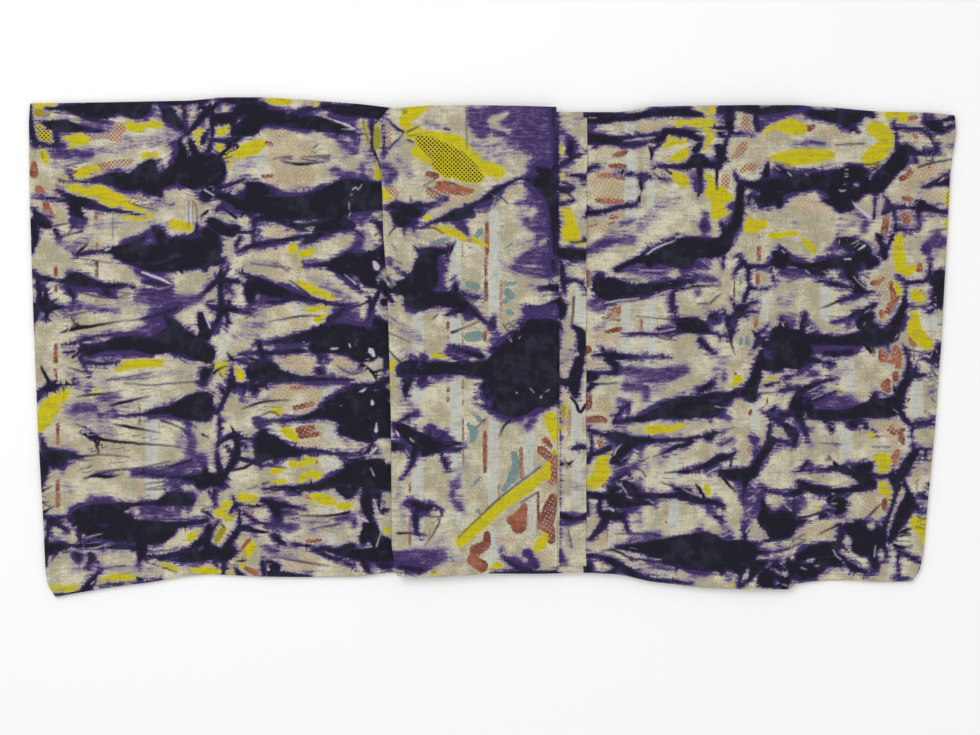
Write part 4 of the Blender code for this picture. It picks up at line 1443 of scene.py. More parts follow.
RIGHT = """
dye 586 118 5  600 118 6  620 117 4  640 116 3.4  656 112 4  672 112 4  690 112 5
light 588 118 .5  597 117.5 .6
wash 590 127 4
dye 586 138 6  600 139 5.5  616 140 4  632 137 1.6  648 135 1.4  660 133 2  668 131 3.4  690 134 4
dye 606 142 2  622 144 2  636 144 2  648 142 1.4
wash 622 146 2.5  640 145 2.5
light 624 140.5 .6  640 139 .8  656 137 .6
dye 652 140 2  660 139 4  664 134 3
dye 653 149 1.2  660 144 2
haze 652 150 3  652 165 4
line 649 146 .8  652 153 1.6  651 160 1
line 590 150 .6  596 146 1.4
dye 586 170 1.6  594 167 1.6  600 166 .6
line 592 163 .6  595 167 1
line 597 162 .6  595 167 .8
dye 617 172 .4  626 173 1  640 174.5 1.2  652 177 1  668 180 .5
line 653 172 .6  660 179 1
wash 643 178 3  641 186 3
line 640 176 1  641 186 1.6  642 192 .8
line 641 194 .6  639 199 1.6  640 204 .6
haze 629 188 3
dye 586 207 2  591 208 1
dye 586 213 3.4  600 212 2.4  616 208 1.8  632 205 1.8  640 203 .6
wash 586 252 4  600 246 6  612 240 6  624 240 4  632 240 4
wash 622 224 3  632 222 3
haze 640 225 8  652 215 6
haze 660 205 6  676 200 6
haze 612 232 5  632 236 8
line 608 224 .6  615 222 .6
dye 656 167 .8  664 166 1.8  676 166.6 2  690 165 3
line 664 168 .6  672 174 1.4
haze 668 153 3
light 646 255 1  656 248 1.2  668 243 1  676 240 .6
dye 636 260 2  648 252 1.6  660 245 1.2  672 238 1  678 234 .5
dye 650 262 6  664 254 8  680 250 12  696 248 11  712 248 10  722 246 9
dye 680 112 4  690 113 4  702 115 2
bare 692 109 1.6
dye 680 130 1  692 130 .8  700 130 .5
dye 682 131 3  692 136 3  700 140 3
dye 729 108 6  729 120 4.4  731 132 3
dye 720 110 4  740 107 4  756 110 5
dye 734 133 1.6  746 134 1  754 135 .5
dye 714 128 1  722 128 2  728 129 2
dye 719 133 2  726 137 1.4
dye 728 136 1.6  725 146 2  723 154 2.6  728 162 .8
dye 718 146 3  720 156 5  718 163 4
dye 680 167 3  690 165 4  698 160 7  708 164 4  718 166 4
dye 696 150 4  700 144 3
light 692 144 .6  700 141 .6
light 705 157 .5  712 147 .8
bare 713 150 3  713 158 3
wash 762 124 5  776 116 6  788 112 5
dye 758 112 4  774 110 4  790 108 3
dye 756 118 3  758 130 2
dye 768 164 2  766 176 4  764 188 6
dye 776 168 3  790 176 5
dye 738 181 2  748 184 3  764 186 6  780 184 8
light 772 165 .8  780 170 .6
wash 776 176 3  790 172 2
dye 735 172 .8  737 180 2
line 717 166 1.4  717 178 1.4  717 190 .6
dye 700 167 3  700 180 2.4  700 192 1.4
wash 692 176 3  698 188 4
dye 741 186 4  740 198 4  739 210 5  736 222 6  730 232 6  724 244 8
dye 722 224 2  726 234 3
bare 714 228 5
wash 705 215 4  706 230 5
dye 704 226 3
light 694 228 1.4
haze 695 222 4
dye 752 200 6  764 198 10  776 196 8  780 206 3
bare 746 200 2.4
bare 754 194 1.6  759 194 1.6
light 752 198 .7  758 208 .8
light 750 202 .6  756 210 .8
wash 730 207 3  737 207 3
dye 774 252 2  780 258 6  784 264 6
dye 616 270 3  632 262 3  648 258 6  664 256 9  684 258 12
wash 628 272 3  648 270 6  664 272 6
haze 630 273 4  660 277 8
light 630 276 1  638 276 .8
light 640 270 .8  664 271 .8
light 668 274 1  674 277 1
wash 652 284 4  664 284 3
line 622 279 .8  640 280 .4
dye 640 286 3  656 287 4  672 284 4  690 282 4
dye 600 280 7  606 288 12  622 290 9  640 291 5  656 288 4
bare 605 277 1.6
wash 594 304 6  600 308 5
light 604 303 1  620 300.5 1  640 298 .8
light 650 297.8 .8  662 293 1  672 290 .8
wash 630 296 3  650 293 4
dye 606 305 1.6  620 301 1  640 297 1.4  656 294 1  676 288 1
haze 596 328 4  604 324 4
line 636 316 .3  656 318 .6  676 319.5 1.2  690 319 1.8
dye 624 334 .5  640 334 1  656 334 1.4  672 332 2  688 330 3.5  700 329 5
dye 656 329 .6  668 328 1  680 326 2
light 648 332 .6  664 331 .8  676 328.5 .8
line 654 335 .6  664 339 .8  677 340 .4
haze 668 336 3  676 335 3
dye 593 355 .6  602 355 2  612 356 4  624 357 2.6  640 357 1.4  656 357.4 .9  672 357 .4
dye 602 348 2  605 352 2
dye 606 360 2  614 364 3.6  616 372 2.6  604 373 1.6  596 373 1.2
dye 586 376 6  594 376 5
line 590 384 1.4  604 384 .9  618 383 .6
dye 592 386 3  588 390 2
wash 620 370 4  634 372 6  650 376 8  668 374 8  684 370 6
wash 626 386 5  644 388 5  646 398 4
haze 640 384 10  660 386 8
wash 620 402 4
dye 660 405 2  676 402 3  690 400 3
dye 684 288 1  674 292 1.4  672 302 2.4  674 312 1.6  678 319 1.4
light 676 304 1.4
wash 692 266 4  706 266 5
dye 723 256 1.6  723 270 1
wash 684 276 5  700 278 5  716 280 3
light 688 273 .8  694 275 .6
light 686 285 .8  692 284 .5
line 680 288 1.4  700 286 1.2  722 286 .5
line 706 276 .6  722 283 .4
node 726 284 22
dye 738 256 1  744 262 2.6  747 267 2.6
dye 741 264 1.6  735 272 1.2  733 276 .5
bare 743 269 1.4
dye 747 267 2.6  756 266.6 1.6  770 266.4 1.6
dye 749 268 2  749 280 1.8  750 288 2
dye 750 288.6 1.6  760 288.6 1  768 288.6 .5
dye 749 289 1.6  746 296 1.6  743 304 1.6
dye 741 308 4  741 313 4
dye 730 298 .8  735 306 2  738 312 3
dye 744 308 3  750 304 1.6  758 302 .5
dye 746 312 1.4  757 312 .5
dye 744 316 2  747 317 1
dye 714 314 1  724 315 1.4  732 317 2.6  740 314 4
dye 724 309 .8  726 314 1.6
wash 733 322 3
dye 728 318 3  729 328 2.4  731 336 1.6
dye 737 320 1  734 328 1.6  731 336 1.6
line 731 336 1.4  732 346 1  735 355 .4
dye 731 336.5 1  720 335 1.2  710 332 1.6
dye 680 324 5  692 324 7  700 326 6  708 331 3
bare 706 338 2  708 344 2
dye 700 340 3  708 348 2  715 354 1
haze 724 360 5  716 372 6
wash 724 372 2.4  724 380 2.4
line 697 304 .7  710 303.5 .8
line 710 304 1  716 298 .8  722 293 .4
haze 706 308 5
wash 698 292 3
wash 712 322 4  718 320 3
dye 710 316 2  718 320 2
line 752 330 .8  757 336 1.6
dye 757 336 2  757 344 2  750 352 1
dye 758 334 1.6  764 330 1.2  769 323 .5
dye 760 337 1  770 336.6 1  780 336 1.4
dye 762 342 3  770 346 5  784 340 10
dye 762 352 3  759 364 4  756 376 5  752 388 6
wash 770 352 5  778 350 5
dye 784 352 6  790 362 6
dye 764 364 6  778 366 6
bare 754 353 3.6
bare 748 372 3.4
dye 733 394 4  744 392 5  752 396 6  748 384 3
bare 739 392 1.4
bare 722 388 1.6  722 396 1.6
dye 690 400 3  704 398 4  716 396 4  728 398 5
dye 700 390 3  712 384 3
dye 764 386 1.4  776 383 .8  790 378 1
line 758 394 1  776 392 .6  790 388 .8
line 784 380 .6  788 388 1
haze 780 300 6
dye 782 318 2  784 326 4  786 334 5
dye 771 268 1.4  773 276 1  778 284 .6
dye 772 262 3  780 264 5  788 262 4
haze 782 276 4
node 742 311 18
node 652 158 20
node 738 200 16
brick 614 155 1.6  620 154 2.4  625 152 3
brick 610 166 1.4  618 166 2.6  624 167 2.8
brick 598 176 1.2  608 175 2.4  616 176 2.4  624 178 2.4
brick 596 200 1.6  610 201 2.6  622 202 2.4
brick 610 218 1.2  617 217 1.8
brick 590 226 1  598 224 1
tan 600 152 5  616 148 4
tan 596 182 8  614 184 8
tan 590 194 6  618 196 6
tan 592 214 6  616 214 6
tan 592 230 5  608 228 5
tan 645 126 6  665 123 5
pale 630 124 6  630 132 5
pale 631 150 6  631 215 6
pale 651 182 4  651 212 4
yellow 666 145 3  674 139 5  682 139 5
yellow 671 162 2.4  682 156 5  690 154 6
yellow 678 124 3  690 122 5
yellow 676 176 4  684 182 5
yellow 684 124 3.4  696 124 5  706 124 6  712 130 5  710 136 4  706 144 3  704 150 1
yellow 700 112 2.5  706 116 2
yellow 713 110 3
tan 720 120 3  720 138 4
lattice 747 118 3  745 125 4  750 130 2
lattice 744 145 3.4  740 152 4  733 157 1.6
lattice 741 172 1.4  747 167 3  754 167 3.4
yellow 780 126 4  790 124 5
yellow 772 126 2  766 132 2
yellow 772 158 2.4  784 158 5  792 156 5
olive 780 165 3  788 166 3
yellow 704 174 3  708 182 6  710 190 6  716 196 6  718 204 6
yellow 722 190 3  725 196 5
yellow 714 214 4  722 216 4  728 212 4
yellow 733 199 3
lattice 726 178 4  725 186 3.4
yellow 746 218 3  748 226 5  756 226 5  764 224 3
yellow 770 235 1.6  778 236 2  788 233 1.4
rust 759 236 1  759 239 1
rust 759 247 1.7  759 260 1.7
rust 758 274 1.8  758 284 1.8
rust 757 303 1  757 306 1
rust 757 312 1.6  757 319 1.6
rust 756 322 1.8  756 327 1.8
rust 735 277 .7  734 300 .7
rust 767 398 .8  767 404 .8
brick 588 274 4  588 284 3
tan 608 310 5  616 306 4
brick 610 310 1.4  620 308 1.6
brick 608 314 1.2  620 313 1.2
brick 602 318 1.2  620 320 1.2
brick 606 332 1.6  620 329 2.4
tan 600 335 6  616 338 6
brick 588 350 4
tan 594 364 5  604 366 4
brick 588 396 4  588 406 4
pale 626 306 5  626 414 5
pale 650 300 5.5  650 414 5.5
rust 641 320 1.5  641 323 1.5
rust 641 327 1.5  641 329 1.5
teal 741 278 2  741 283 2
teal 739 291 1.4  739 294 1.4
teal 754 318 2
teal 741 339 2  741 344 2
teal 747 336 1.6  748 344 2.4
pale 765 290 4  765 318 4
yellow 738 380 4  734 388 1.6
rust 736 374 1.6
yellow 768 381 2.4  776 380 2.4
tan 600 404 6  606 412 4
brick 588 420 3  600 419 3.4  606 421 2
wash 640 413 2  652 408 2  664 403 2  676 400 1.4
dye 614 423 1.6  630 420 2.4  645 418 4  660 413 6  675 411 8  690 410 9
dye 614 422 2  620 412 1.2  627 404 1.4
dye 629 402 1.2  628 418 1.4
wash 620 416 1.6  624 407 1.4
bare 640 429 5  664 428 6  684 427 6
yellow 649 430 3  660 430 4.4  668 430 2  684 424 1
pale 622 428 4
dye 588 430 2  600 434 1.6  612 436 4  622 440 7  632 442 6  644 441 4  660 440.5 2  690 439.5 1.8
dye 628 446 6  620 453 6  616 460 4  620 465 2
dye 609 448 3  600 452 2  592 455 2  587 462 2.4
dye 590 432 1.4  592 444 1  591 455 2
tan 600 440 5  606 438 3
brick 598 442 1.4  602 444 3  600 448 1
light 621.5 444.5 .6  616 450 1  614 456 .8
wash 640 446 2.6  641 452 2.6  641 460 2
line 636 460 .6  643 461 .8  650 457 .4
dye 612 462 2.4  620 463 1.8  627 460 1.2  629 457 .6
wash 616 472 4  636 466 4
light 614 470 .8  624 467 .5
dye 612 481 1.2  620 477 1.6  626 473 1.6  632 479 .6
line 634 468 .5  642 471 .8  646 477 .5
haze 660 462 5
haze 646 466 5
dye 664 453 .8  674 448 2.2  684 445 2.4  692 443 1.4
line 654 457 .4  668 451 .8
light 672 444 .5  684 442 .8
line 664 473 .6  676 472 1  690 471.5 1.8
line 660 482 .5  672 486 1
dye 672 486 1  680 490 3  690 491 2.4
yellow 608 457 3  602 464 6  602 474 7  592 484 5  588 488 3
brick 602 486 1.4  608 484 2.4  610 488 2
dye 612 490 4  622 485 4.4  630 488 6  634 493 5  640 497 4
light 621 482 .8  623 488 .8  627 493 .8
light 617 482 .6  619 486 .8
wash 640 480 2  641 494 3
dye 588 494 3  600 496 3.4  620 497 4  640 496.5 3.4  660 496 2.6  690 495.5 2.4
light 626 496 .6  632 498 .8
dye 612 502 5  624 504 5  640 503 2.6  654 503 2
light 650 502 .5  655 503.5 1
dye 600 500 2  600 512 2.4
dye 602 514 4  614 516 5  622 516 4  626 512 2
bare 606 506 3.4
rust 606 506 1.4
light 610 508 .8  614 511 1.2
tan 594 508 3  594 522 4  592 532 3
rust 593 508 1.2
dye 606 518 4  603 525 4  597 532 2.6  590 539 1.6
dye 587 500 1.4  588 514 1.4
dye 622 516 2  626 524 2  628 531 2
wash 634 508 4  640 512 3
haze 640 520 6
line 616 534 .6  636 533.5 .8  656 533.5 .8
wash 630 538 2.4  644 536 3  658 534 3
dye 616 547 1.4  630 548 4  645 548 6.4  660 550 11  675 551 14  692 550 16
light 628 551 .8  634 555 .8
light 630 543 .6  637 541 .6
bare 640 557 1.4  662 560.5 .8
line 600 551 .5  612 550 1  620 553 1.2  632 559 1
dye 632 559 1  650 561 1  664 563 1.4  690 568 2.4
dye 588 556 2  600 557 1.2  612 562 4  624 569 4.4  636 575 3.4  650 580 2  690 583 1.6
dye 588 566 5  590 574 3  604 574 1.4  614 572 3
haze 640 568 3  676 572 3
tan 602 564 4  606 570 2.4
tan 600 542 6  606 530 2.4
rust 606 531 1  607 536 1
pale 612 526 4  612 546 4
rust 666 512 1.1  666 514 1.1
rust 666 521 1.1  666 523 1.1
pale 674 445 4  674 478 4
pale 674 505 5  674 530 5
dye 684 406 10  700 408 10  712 410 8  720 406 6  726 400 4
bare 690 428 8  700 427 8  708 427 5
wash 722 414 4  728 418 4
light 715 406.5 .7  722 408 .6
light 724 407 .8  730 409 .6
light 721 420 .8  730 424 .6
light 719 425 .8  729 428 .5
light 716 430 .7  728 431 .4
dye 680 439.5 1.6  696 438 1.6  712 434 1.6  724 431 .8
line 720 432 .6  736 427 .4
dye 706 437 3  711 438 2.4
dye 680 445 2  686 444 1.4  692 442 .8
wash 722 444 4  732 440 3
dye 680 472 1  696 469 1.4  708 465 3.4  718 459 4  728 457 3  736 452 1
bare 726 461 1.4  729 460.5 1.2
line 737 450 .5  732 458 1  731 468 1.2
dye 722 473 4  736 475 6.4  750 474 6.4  756 466 4
wash 710 472 4  716 467 3
light 704 476 .6  713 470 1  720 467 .6
line 722 476 1.4  728 484 1.4  736 492 .8
wash 738 488 4  740 494 2.4
dye 745 480 4  745 490 2  743.5 500 .6
dye 772 441 5  765 452 4.4  758 462 4.4  754 472 5
dye 770 424 1.4  769 436 2  770 442 4
dye 762 411 1  768 415 1.8  774 419 1.6  790 415 2.4
dye 772 411 2.4  776 407 1.6
dye 774 419 1.6  782 424 2  790 427 2
wash 780 422 3  776 414 3
dye 776 441 2  784 441 1.6  790 444 2
dye 758 438 1  750 437 .5
wash 756 442 3  754 456 3
haze 778 450 4
dye 760 484 1  764 489 1.4  774 492 1.2  790 494.5 1.2
wash 754 488 4  750 500 5  748 515 5  746 528 4
light 752 484 1  756 488 1
light 748 500 .8  755 495 .8
light 746 512 1  752 508 .8
light 745 520 .8  750 516 .6
light 746 533 1  751 524 1
wash 760 494 3  758 506 3
dye 764 508 4  768 520 10  784 524 14  776 530 10
dye 762 500 2.4  764 508 3.4
bare 772 504 3  774 510 1.6
haze 785 506 6
wash 710 510 5
dye 680 497 3  700 501 3  716 503 3  724 507 1.6
dye 716 517 2  722 519 2
yellow 707 486 1.6  708 494 2
line 696 484 1  700 490 1.6  704 498 2
dye 680 490 2  690 494 1.6  700 499 2
light 682 489 .6  698 496 .6
dye 690 552 16  704 552 20  720 556 16  740 560 20  752 558 16
haze 700 526 3
wash 684 566 3  694 573 4  706 575 3
light 680 573 .8  686 577 .6
light 682 580 .6  690 582 .6
wash 724 526 3  730 534 4
light 722 527 .7  732 522 .6
light 721 532 .7  732 528 .6
light 722 537 .7  733 532 .7
dye 744 528 1  745 534 2  744 541 2
bare 729 574 4  734 578 5
bare 745 577 3  748 570 2
bare 750 583 3
yellow 733 585 2.4
yellow 746 588 2
dye 740 570 1  739 587 1.4
dye 740 587 1  752 578 1
bare 760 548 2.4  775 545 3  790 543 3
bare 758 558 2.4  768 557 2.6  790 554 2
dye 756 552 1.4  768 551.6 1  790 549.5 .8
dye 760 543 1.4  776 539 1.6  790 537 1.4
dye 764 563 1.6  780 560 1  790 557.5 .8
wash 758 546 1.4  756 551 1
dye 776 572 9  764 580 7  784 582 6
bare 771 569 1.4  779 572 2.4  785 576 1
bare 774 580 1  778 583 1.8
yellow 770 587 2
rust 750 414 1.6  751 411 1.4
rust 749 446 1  749 453 1
tan 747 430 2.4  747 456 2.4
pale 756 404 4  754 450 4
teal 778 406 1.2
dye 784 108 3  800 107 1.4
wash 784 112 4  794 112 5  806 110 4
dye 810 112 4  822 115 5  836 116 7  850 117 8  858 116 6
dye 858 113 3  872 113 3
bare 842 115.5 1.2
dye 846 124 4  853 127 3  859 132 .8
haze 840 125 3
yellow 786 129 3  792 128 6  802 129 4.4
brick 800 124 1  808 128 3  814 126 2
haze 786 145 3  798 144 4
wash 802 144 2  812 142 3  824 144 2.4
haze 830 144 3
light 814 140 .6  818 137 .8
line 836 144.5 .6  866 143 .8
yellow 786 157 4  798 157 7  812 156 6  824 155 5  832 155 3
olive 784 168 3  794 170 2
tan 830 132 5  846 134 4
wash 782 174 4  800 174 5  812 172 4
dye 784 173 2  792 177 3  806 177 3
light 788 172 .8  792 176 .8
light 806 173 .8  809 175 .6
dye 780 186 7  800 186 6  816 181 9  832 182 12  846 186 18  856 180 16  864 184 10
dye 836 196 6  846 204 7  852 208 3
dye 860 180 6  870 188 6  878 188 6
wash 860 172 4  856 176 3
light 845 169 .6  849 169 .6
light 845 176 .8  849 176 .6
bare 846 183.5 1.4
light 840 189.5 .8  843 191 1  847 189.5 .8
wash 842 186 1.4
bare 857 184.5 3
light 852 199.5 1.2
light 853 202 .7  860 208 1.4  868 215 2  872 218 1
wash 858 214 2.4  866 218 2.4
line 862 165 1  872 164 .8  882 161 .8
bare 872 176 3.4  874 180 2
yellow 866 160 3  872 153 5  880 148 5
yellow 868 168 2.4  874 165 2
line 866 176 1  873 170 1  880 166 1
bare 870 196 3  870 206 3  872 214 3
dye 877 194 1.2  875.5 206 1  874.5 218 1
tan 800 200 8  818 208 9  832 208 5
wash 784 197 4  794 194 3
dye 780 194 3  790 190 3
wash 822 192 3  832 195 3
dye 824 200 2  834 204 3  842 210 3
haze 795 223 4
haze 842 226 6  858 222 4
yellow 782 234 1  796 233 1.6
yellow 804 240 1.6  811 246 2  815 252 1.6
line 876 233 1  882 238 2.4
dye 840 240 3.4  850 244 7  862 250 8  874 254 5
wash 838 246 4  830 250 4
wash 864 230 4  866 222 4
light 852 244 .8  860 240 .8
light 858 250 .8  866 245 1.6
bare 853.5 252 1.4
light 840 244 .8  840 240 .6
light 826 251 .8  832 252 .8
dye 780 248 2  786 256 4
light 782 250 .8  785 253 .8
bare 874 242 2.4  875 254 3
brick 876 246 1.4  878 250 1.6
dye 782 258 5  796 265 3.4  812 266 4  828 264 5  846 262 7  862 262 9  876 262 4
wash 792 258 4  804 260 3
wash 820 258 3  834 256 3
dye 850 272 6  856 282 5  862 288 4
light 788 267 .5  798 268 .5
light 844 258.5 .8  852 259 1.2
wash 784 274 5  796 274 6  808 272 4
light 806 270 .7  811 274 .7
dye 812 271 4  824 272 4
bare 831 273 3.4  838 273 2.4
wash 844 275 4
light 824 271 .6  828 273 .8
dye 820 281 1.2  834 283.5 2  848 287 2  858 291 3.4  868 292 2  876 292 .6
light 854 276 .6  860 283 .7  868 289 .7
light 848 288.5 .6  853 290 .6
bare 863 267 1.4  868 274 2.4
bare 864 281 2  870 284 2.4
line 862 284 .6  868 290 1  876 291.6 .8
line 862 274 .5  870 278 1
brick 873 283 2.6  880 282 2.4
line 822 308 .6  832 304 1  842 300 1.4
dye 842 300 1.6  852 297.5 1.6  864 295 1
pale 826 286 5  826 314 5
pale 861 303 4  866 300 4
haze 870 298 3
haze 786 304 5  794 296 5
line 786 282 .5  792 281 .4
dye 834 322 .8  846 318.6 1.4  858 313 2.4  868 309 2  876 304 1.6
dye 870 316 5  862 322 6  872 330 8
light 865 313 .5  871 309 .6
light 864 326 .6  866 322 .5
wash 848 325 4  852 320 2
bare 838 331 3  842 328 3
bare 833 335 1.2
dye 780 336 10  800 338 8  820 340 6  840 341 5  860 339 7  878 336 8
dye 784 350 14  796 350 14  804 350 10
wash 812 328 6
light 806 329 1  815 325 .8
light 806 333 .8  818 329 .8
light 820 325 .7  828 322 .5
dye 806 314 1.6  804 324 3  802 332 3
line 788 312 .5  800 316 .8  806 318 1
line 784 316 .5  796 318 .6
wash 792 322 5
light 782 322 .8  784 326 1
wash 812 354 3  822 348 4  840 348 5  856 346 5
dye 826 353 3  842 353 3.4  852 352 3
wash 834 350 2
bare 821 358 1.4  827 359 1
dye 820 361 1  828 363 1.6  836 364 .6
dye 786 362 6  800 364 5  812 360 3  820 361 2
wash 806 372 6  816 373 5
light 806 371 .8  810 374 .8
light 802 378 .8  806 376 .8
bare 790 371 2.4  797 371 1.4
dye 786 376 1.4  797 375.6 .8
dye 800 392 4  812 386 2.6  824 381.5 1.6  836 379.6 .8
haze 832 372 5  848 371 4
pale 850 364 5  850 390 5
dye 780 391 1  792 388.6 1.4  800 387 1
line 786 382 .6  792 390 1.2
wash 812 392 4  822 390 4
light 808 392 .7  820 387 .7
light 822 385 .7  832 383 .6
dye 798 400 6  812 401 3  824 397 1.4  837 391 .8
light 812 399 .6  824 394 .6
yellow 834 390 1.4  842 393 3
wash 820 403 5  836 401 6  852 400 6
line 864 343 1.6  870 350 1.6  874 356 .6
line 872 344 1  876 353 .8
dye 796 406 7  810 408 5
dye 812 414 5  832 415 5.6  850 414 6  868 410 8  880 410 8
wash 846 404 4
dye 798 414 5  802 424 3  806 432 2.4  808 438 1.2
wash 812 430 3
dye 784 426 2  792 432 5  796 438 3  794 446 2
light 786 421 .8  792 423 .8
bare 799 424 1.2  801 432 1.8
dye 780 413 2  796 413 2
dye 826 422 2  832 426 3  832 432 1.2
light 833 427 .8  836 425 .6
light 826 425 .6  830 425 .5
wash 848 424 3  854 428 2.4
dye 852 424 4  862 424 4  868 428 2
bare 861 427 3
haze 812 446 6
haze 836 445 5
line 820 443 .6  840 444 .6
pale 846 430 6  846 456 6
line 829 455 .6  833 461 1.4  838 467 2
line 825 460 .5  833 461 .8
dye 796 471.6 1  810 471 1  826 470 1.6  838 468 3  852 471 5  864 470 7  870 466 4
dye 803 468 1.4  808 463 2
wash 811 466 3
wash 848 463 3  854 464 2
light 849 466 .8  851 468 .6
light 827 466 .7  830 464 .6
dye 797 482 1.6  806 486 4  818 490 5  832 492 4  846 491 3
dye 846 491 3  860 488 4  872 484 6
dye 856 474 5  868 480 6
dye 784 495 1.4  800 492 4
light 848 481 .8  854 481 .7
light 850 484 .8  858 484 .6
light 847 487 .6  852 487 .5
dye 832 500 5  842 505 7  838 512 4
wash 848 496 2.4
light 846 499 .7  853 500 .7
light 832 504 .7  838 504 .6
light 846 507 .8  857 508 .8
light 832 494 .6  836 494 .6
wash 802 504 6
dye 795 498 1.4  795 514 1.6
line 797 519 1.2  812 516 1.2  826 511.5 1.2
dye 826 511 1.4  836 511 2
dye 822 516 3  830 514 2
light 828 512.5 .6  831 515 .6
wash 786 506 5
light 785 505 .6  792 511 .8
yellow 820 508 1.6
tan 866 496 5  870 506 6  866 512 5
tan 876 514 4  877 524 4
line 868 518 1  875 511 1
line 875 511 1  882 504 .6
haze 850 516 4
dye 850 528 6  864 532 12  878 538 10  862 546 10  874 550 6
bare 852 520 3  842 518 2.4
bare 872 526 5
dye 797 523 4  806 521 2
wash 800 526 3
tan 804 532 4  830 524 5
tan 812 540 3  828 534 4
line 820 534 .6  832 528.6 1  842 524 1.4
dye 842 528 3  842 536 3  838 544 3
line 792 541 .7  806 534 .6
line 792 548 .8  806 541 .6
wash 802 548 4
dye 800 558 5  812 552 6  826 550 8  838 548 6
dye 838 548 6  846 556 4  836 561 5  820 562 5
dye 788 564 4  800 572 9  812 572 8
wash 804 568 4
light 801 568 .8  807 570 .6
light 815 566 .8  820 566 .8
bare 842 552 3  850 556 3  856 559 1.6
yellow 844 556 2.4
light 834 550 .8  837 556 .8  842 560 .8
bare 860 563 3  868 567 3
dye 848 564 3  858 570 3  870 574 1
line 856 560 .8  862 566 .8
dye 872 560 3  878 566 3
light 876 546 .8  875 558 .8
bare 828 575 4  840 576 5
bare 850 577 2  870 578 1.6
tan 828 577 3
tan 848 578 2.4
dye 820 572 3  828 566 2  842 566 2
dye 784 586 4  788 580 4
light 782 584 .6  788 586 .6
yellow 796 585 1.4
dye 868 112 3  875 116 1.6
yellow 890 114 4  902 116 6
yellow 876 128 7  886 134 7  888 142 7  880 152 7  872 159 4
pale 872 140 4
brick 910 118 2  917 117 2
dye 925 111 1  925 120 1.4
wash 932 115 4
dye 928 122 3  936 126 6  944 130 3
dye 924 121 1.4  940 121 1.6  950 118.5 2  957 117 2.4
light 944 125 .6  952 122 .5
dye 948 128 2  956 124 .8
haze 950 130 4
dye 893 123 1  896 128 1.4  912 128 1  924 129.6 1.4  930 134 1.6
line 930 134 1.6  934 142 1  936 147 1
line 930 134 1  945 134 .8
dye 896 128 1.2  897.5 140 1.4  898 148 2.4
brick 903 136 2
brick 914 134 1.4  918 136 1.6
brick 916 141 1
dye 906 146 3  912 150 4  918 153 2.4  928 151.6 1  936 149.5 .8
dye 904 150 6  900 160 9  890 170 8  882 180 9  876 186 8
dye 916 156 1.6  917 162 1.2
rust 882 158 .8  885 154 .8
dye 937 146 2  938 150 2.4
wash 944 146 1.6  958 145 2
haze 950 146 4
line 918 167 1  932 163 1  946 160 .8
line 946 160 .8  958 158.5 .7
line 934 152 .8  933 162 1
line 940 151 .4  948 155 .3
tan 914 172 8  940 170 6
tan 904 190 8
brick 908 168 3  912 172 2
brick 902 178 3  908 176 2.4
brick 930 167 1.4
brick 931 180 1  936 177 1.2
dye 956 169 1  948 174 1.2  938 180 1.6  930 185 2  924 187 1
dye 948 180 3  955 182 3  936 184 1.6
light 940 181 .7  946 177 .7
rust 923 187 1
rust 920 195 .7
tan 934 196 6  944 198 8
dotted 951 193 3  950 206 3
dye 918 200 1  924 203 3.4  920 208 4
dye 924 206 4  932 208 3.4  940 210.6 2.4  952 212 1.8
dye 893 206 2  900 207 1.2  912 207.6 1.4  920 210 3
wash 887 206 3
dye 884 195 1.2  888 200 2  892 206 2
dye 892 208 2  884 213 2.4
dye 895 210 1.8  896 220 1.4  896.5 229 2
dye 918.5 212 2  920 220 1.2  920.5 228 .8
dye 897 229.6 1.4  908 229.4 1  918 230.4 .5
dye 895 232 1.2  891 240 1.4  887 250 1.4
brick 904 217 4  910 215 3.6  906 224 3
brick 887 216 3  886 226 3.4  884 236 3.6
brick 904 236 2.4
brick 904 198 2  912 199 2.4
yellow 899 238 4  899 250 4.4  900 258 4.6
wash 882 241 1.6
dye 878 236 1.4  883 246 3  885 256 4
yellow 950 218 2.4  949 225 2.4
wash 938 236 6  928 246 5  944 242 6
haze 938 236 9  928 246 8
dye 926 250 2
haze 912 250 4
line 930 231 .4  950 228 .5
brick 893 255.6 1
yellow 900 252 4.6  901 262 5  902 270 5  906 276 3
yellow 908 272 3  914 268 2.4
brick 920 269 3.4  921 265 2.4
pale 908 278 1.6  916 276 2.4
dye 898 274 .8  904 280 1.4  912 282 1.6  926 280.6 1.6  931 274 1.6
dye 931 274 1.6  930.5 262 1  929.5 256 .6
dye 936 280 6  942 276 7  943 288 9  940 298 8
bare 934.5 292 .7
light 934 297.5 .5  937 297 .5
haze 936 258 5
dye 906.5 284 1.4  906 294 1.4  905 304 3
yellow 917 293 3  918 299 6  921 303 4
rust 912 295 .7  917 289 .7
rust 921 290 .9  925 297 .9
dye 904 304 2.4  914 305.6 1.4  928 305.8 .6
dye 932 303 1  936 308 1.4  930 312 .8
dye 936 308 1.4  944 306 1
light 935 304 .9  937 305 1.2
yellow 914 314 3  914 322 6  916 332 6  922 338 6  930 346 5
pale 932 322 7
haze 932 334 4
line 938 325 .5  944 324 .6
rust 907.5 324 .8  914 334 .8  922 344 .8
brick 908 327 2.4  911 331 1.6
brick 913 342 3  911 338 2  915 346 2
dye 905 304 3  902 314 5  897 324 6  890 334 8
dye 890 334 8  880 338 8  870 338 8
wash 904 318 2.4  902 328 2
light 909 308 .7  906 313 .6
wash 896 336 3
light 895 339 .6  899 334 .7
dye 889 344 1.4  889.6 352 .4
brick 883 350 4  884 356 5  882 360 2.4
brick 896 348 3  897 354 5.4  899 360 3
brick 899 366 3
brick 889 361 1.6  894 362 2
brick 896 375 3.4  897 380 2.4
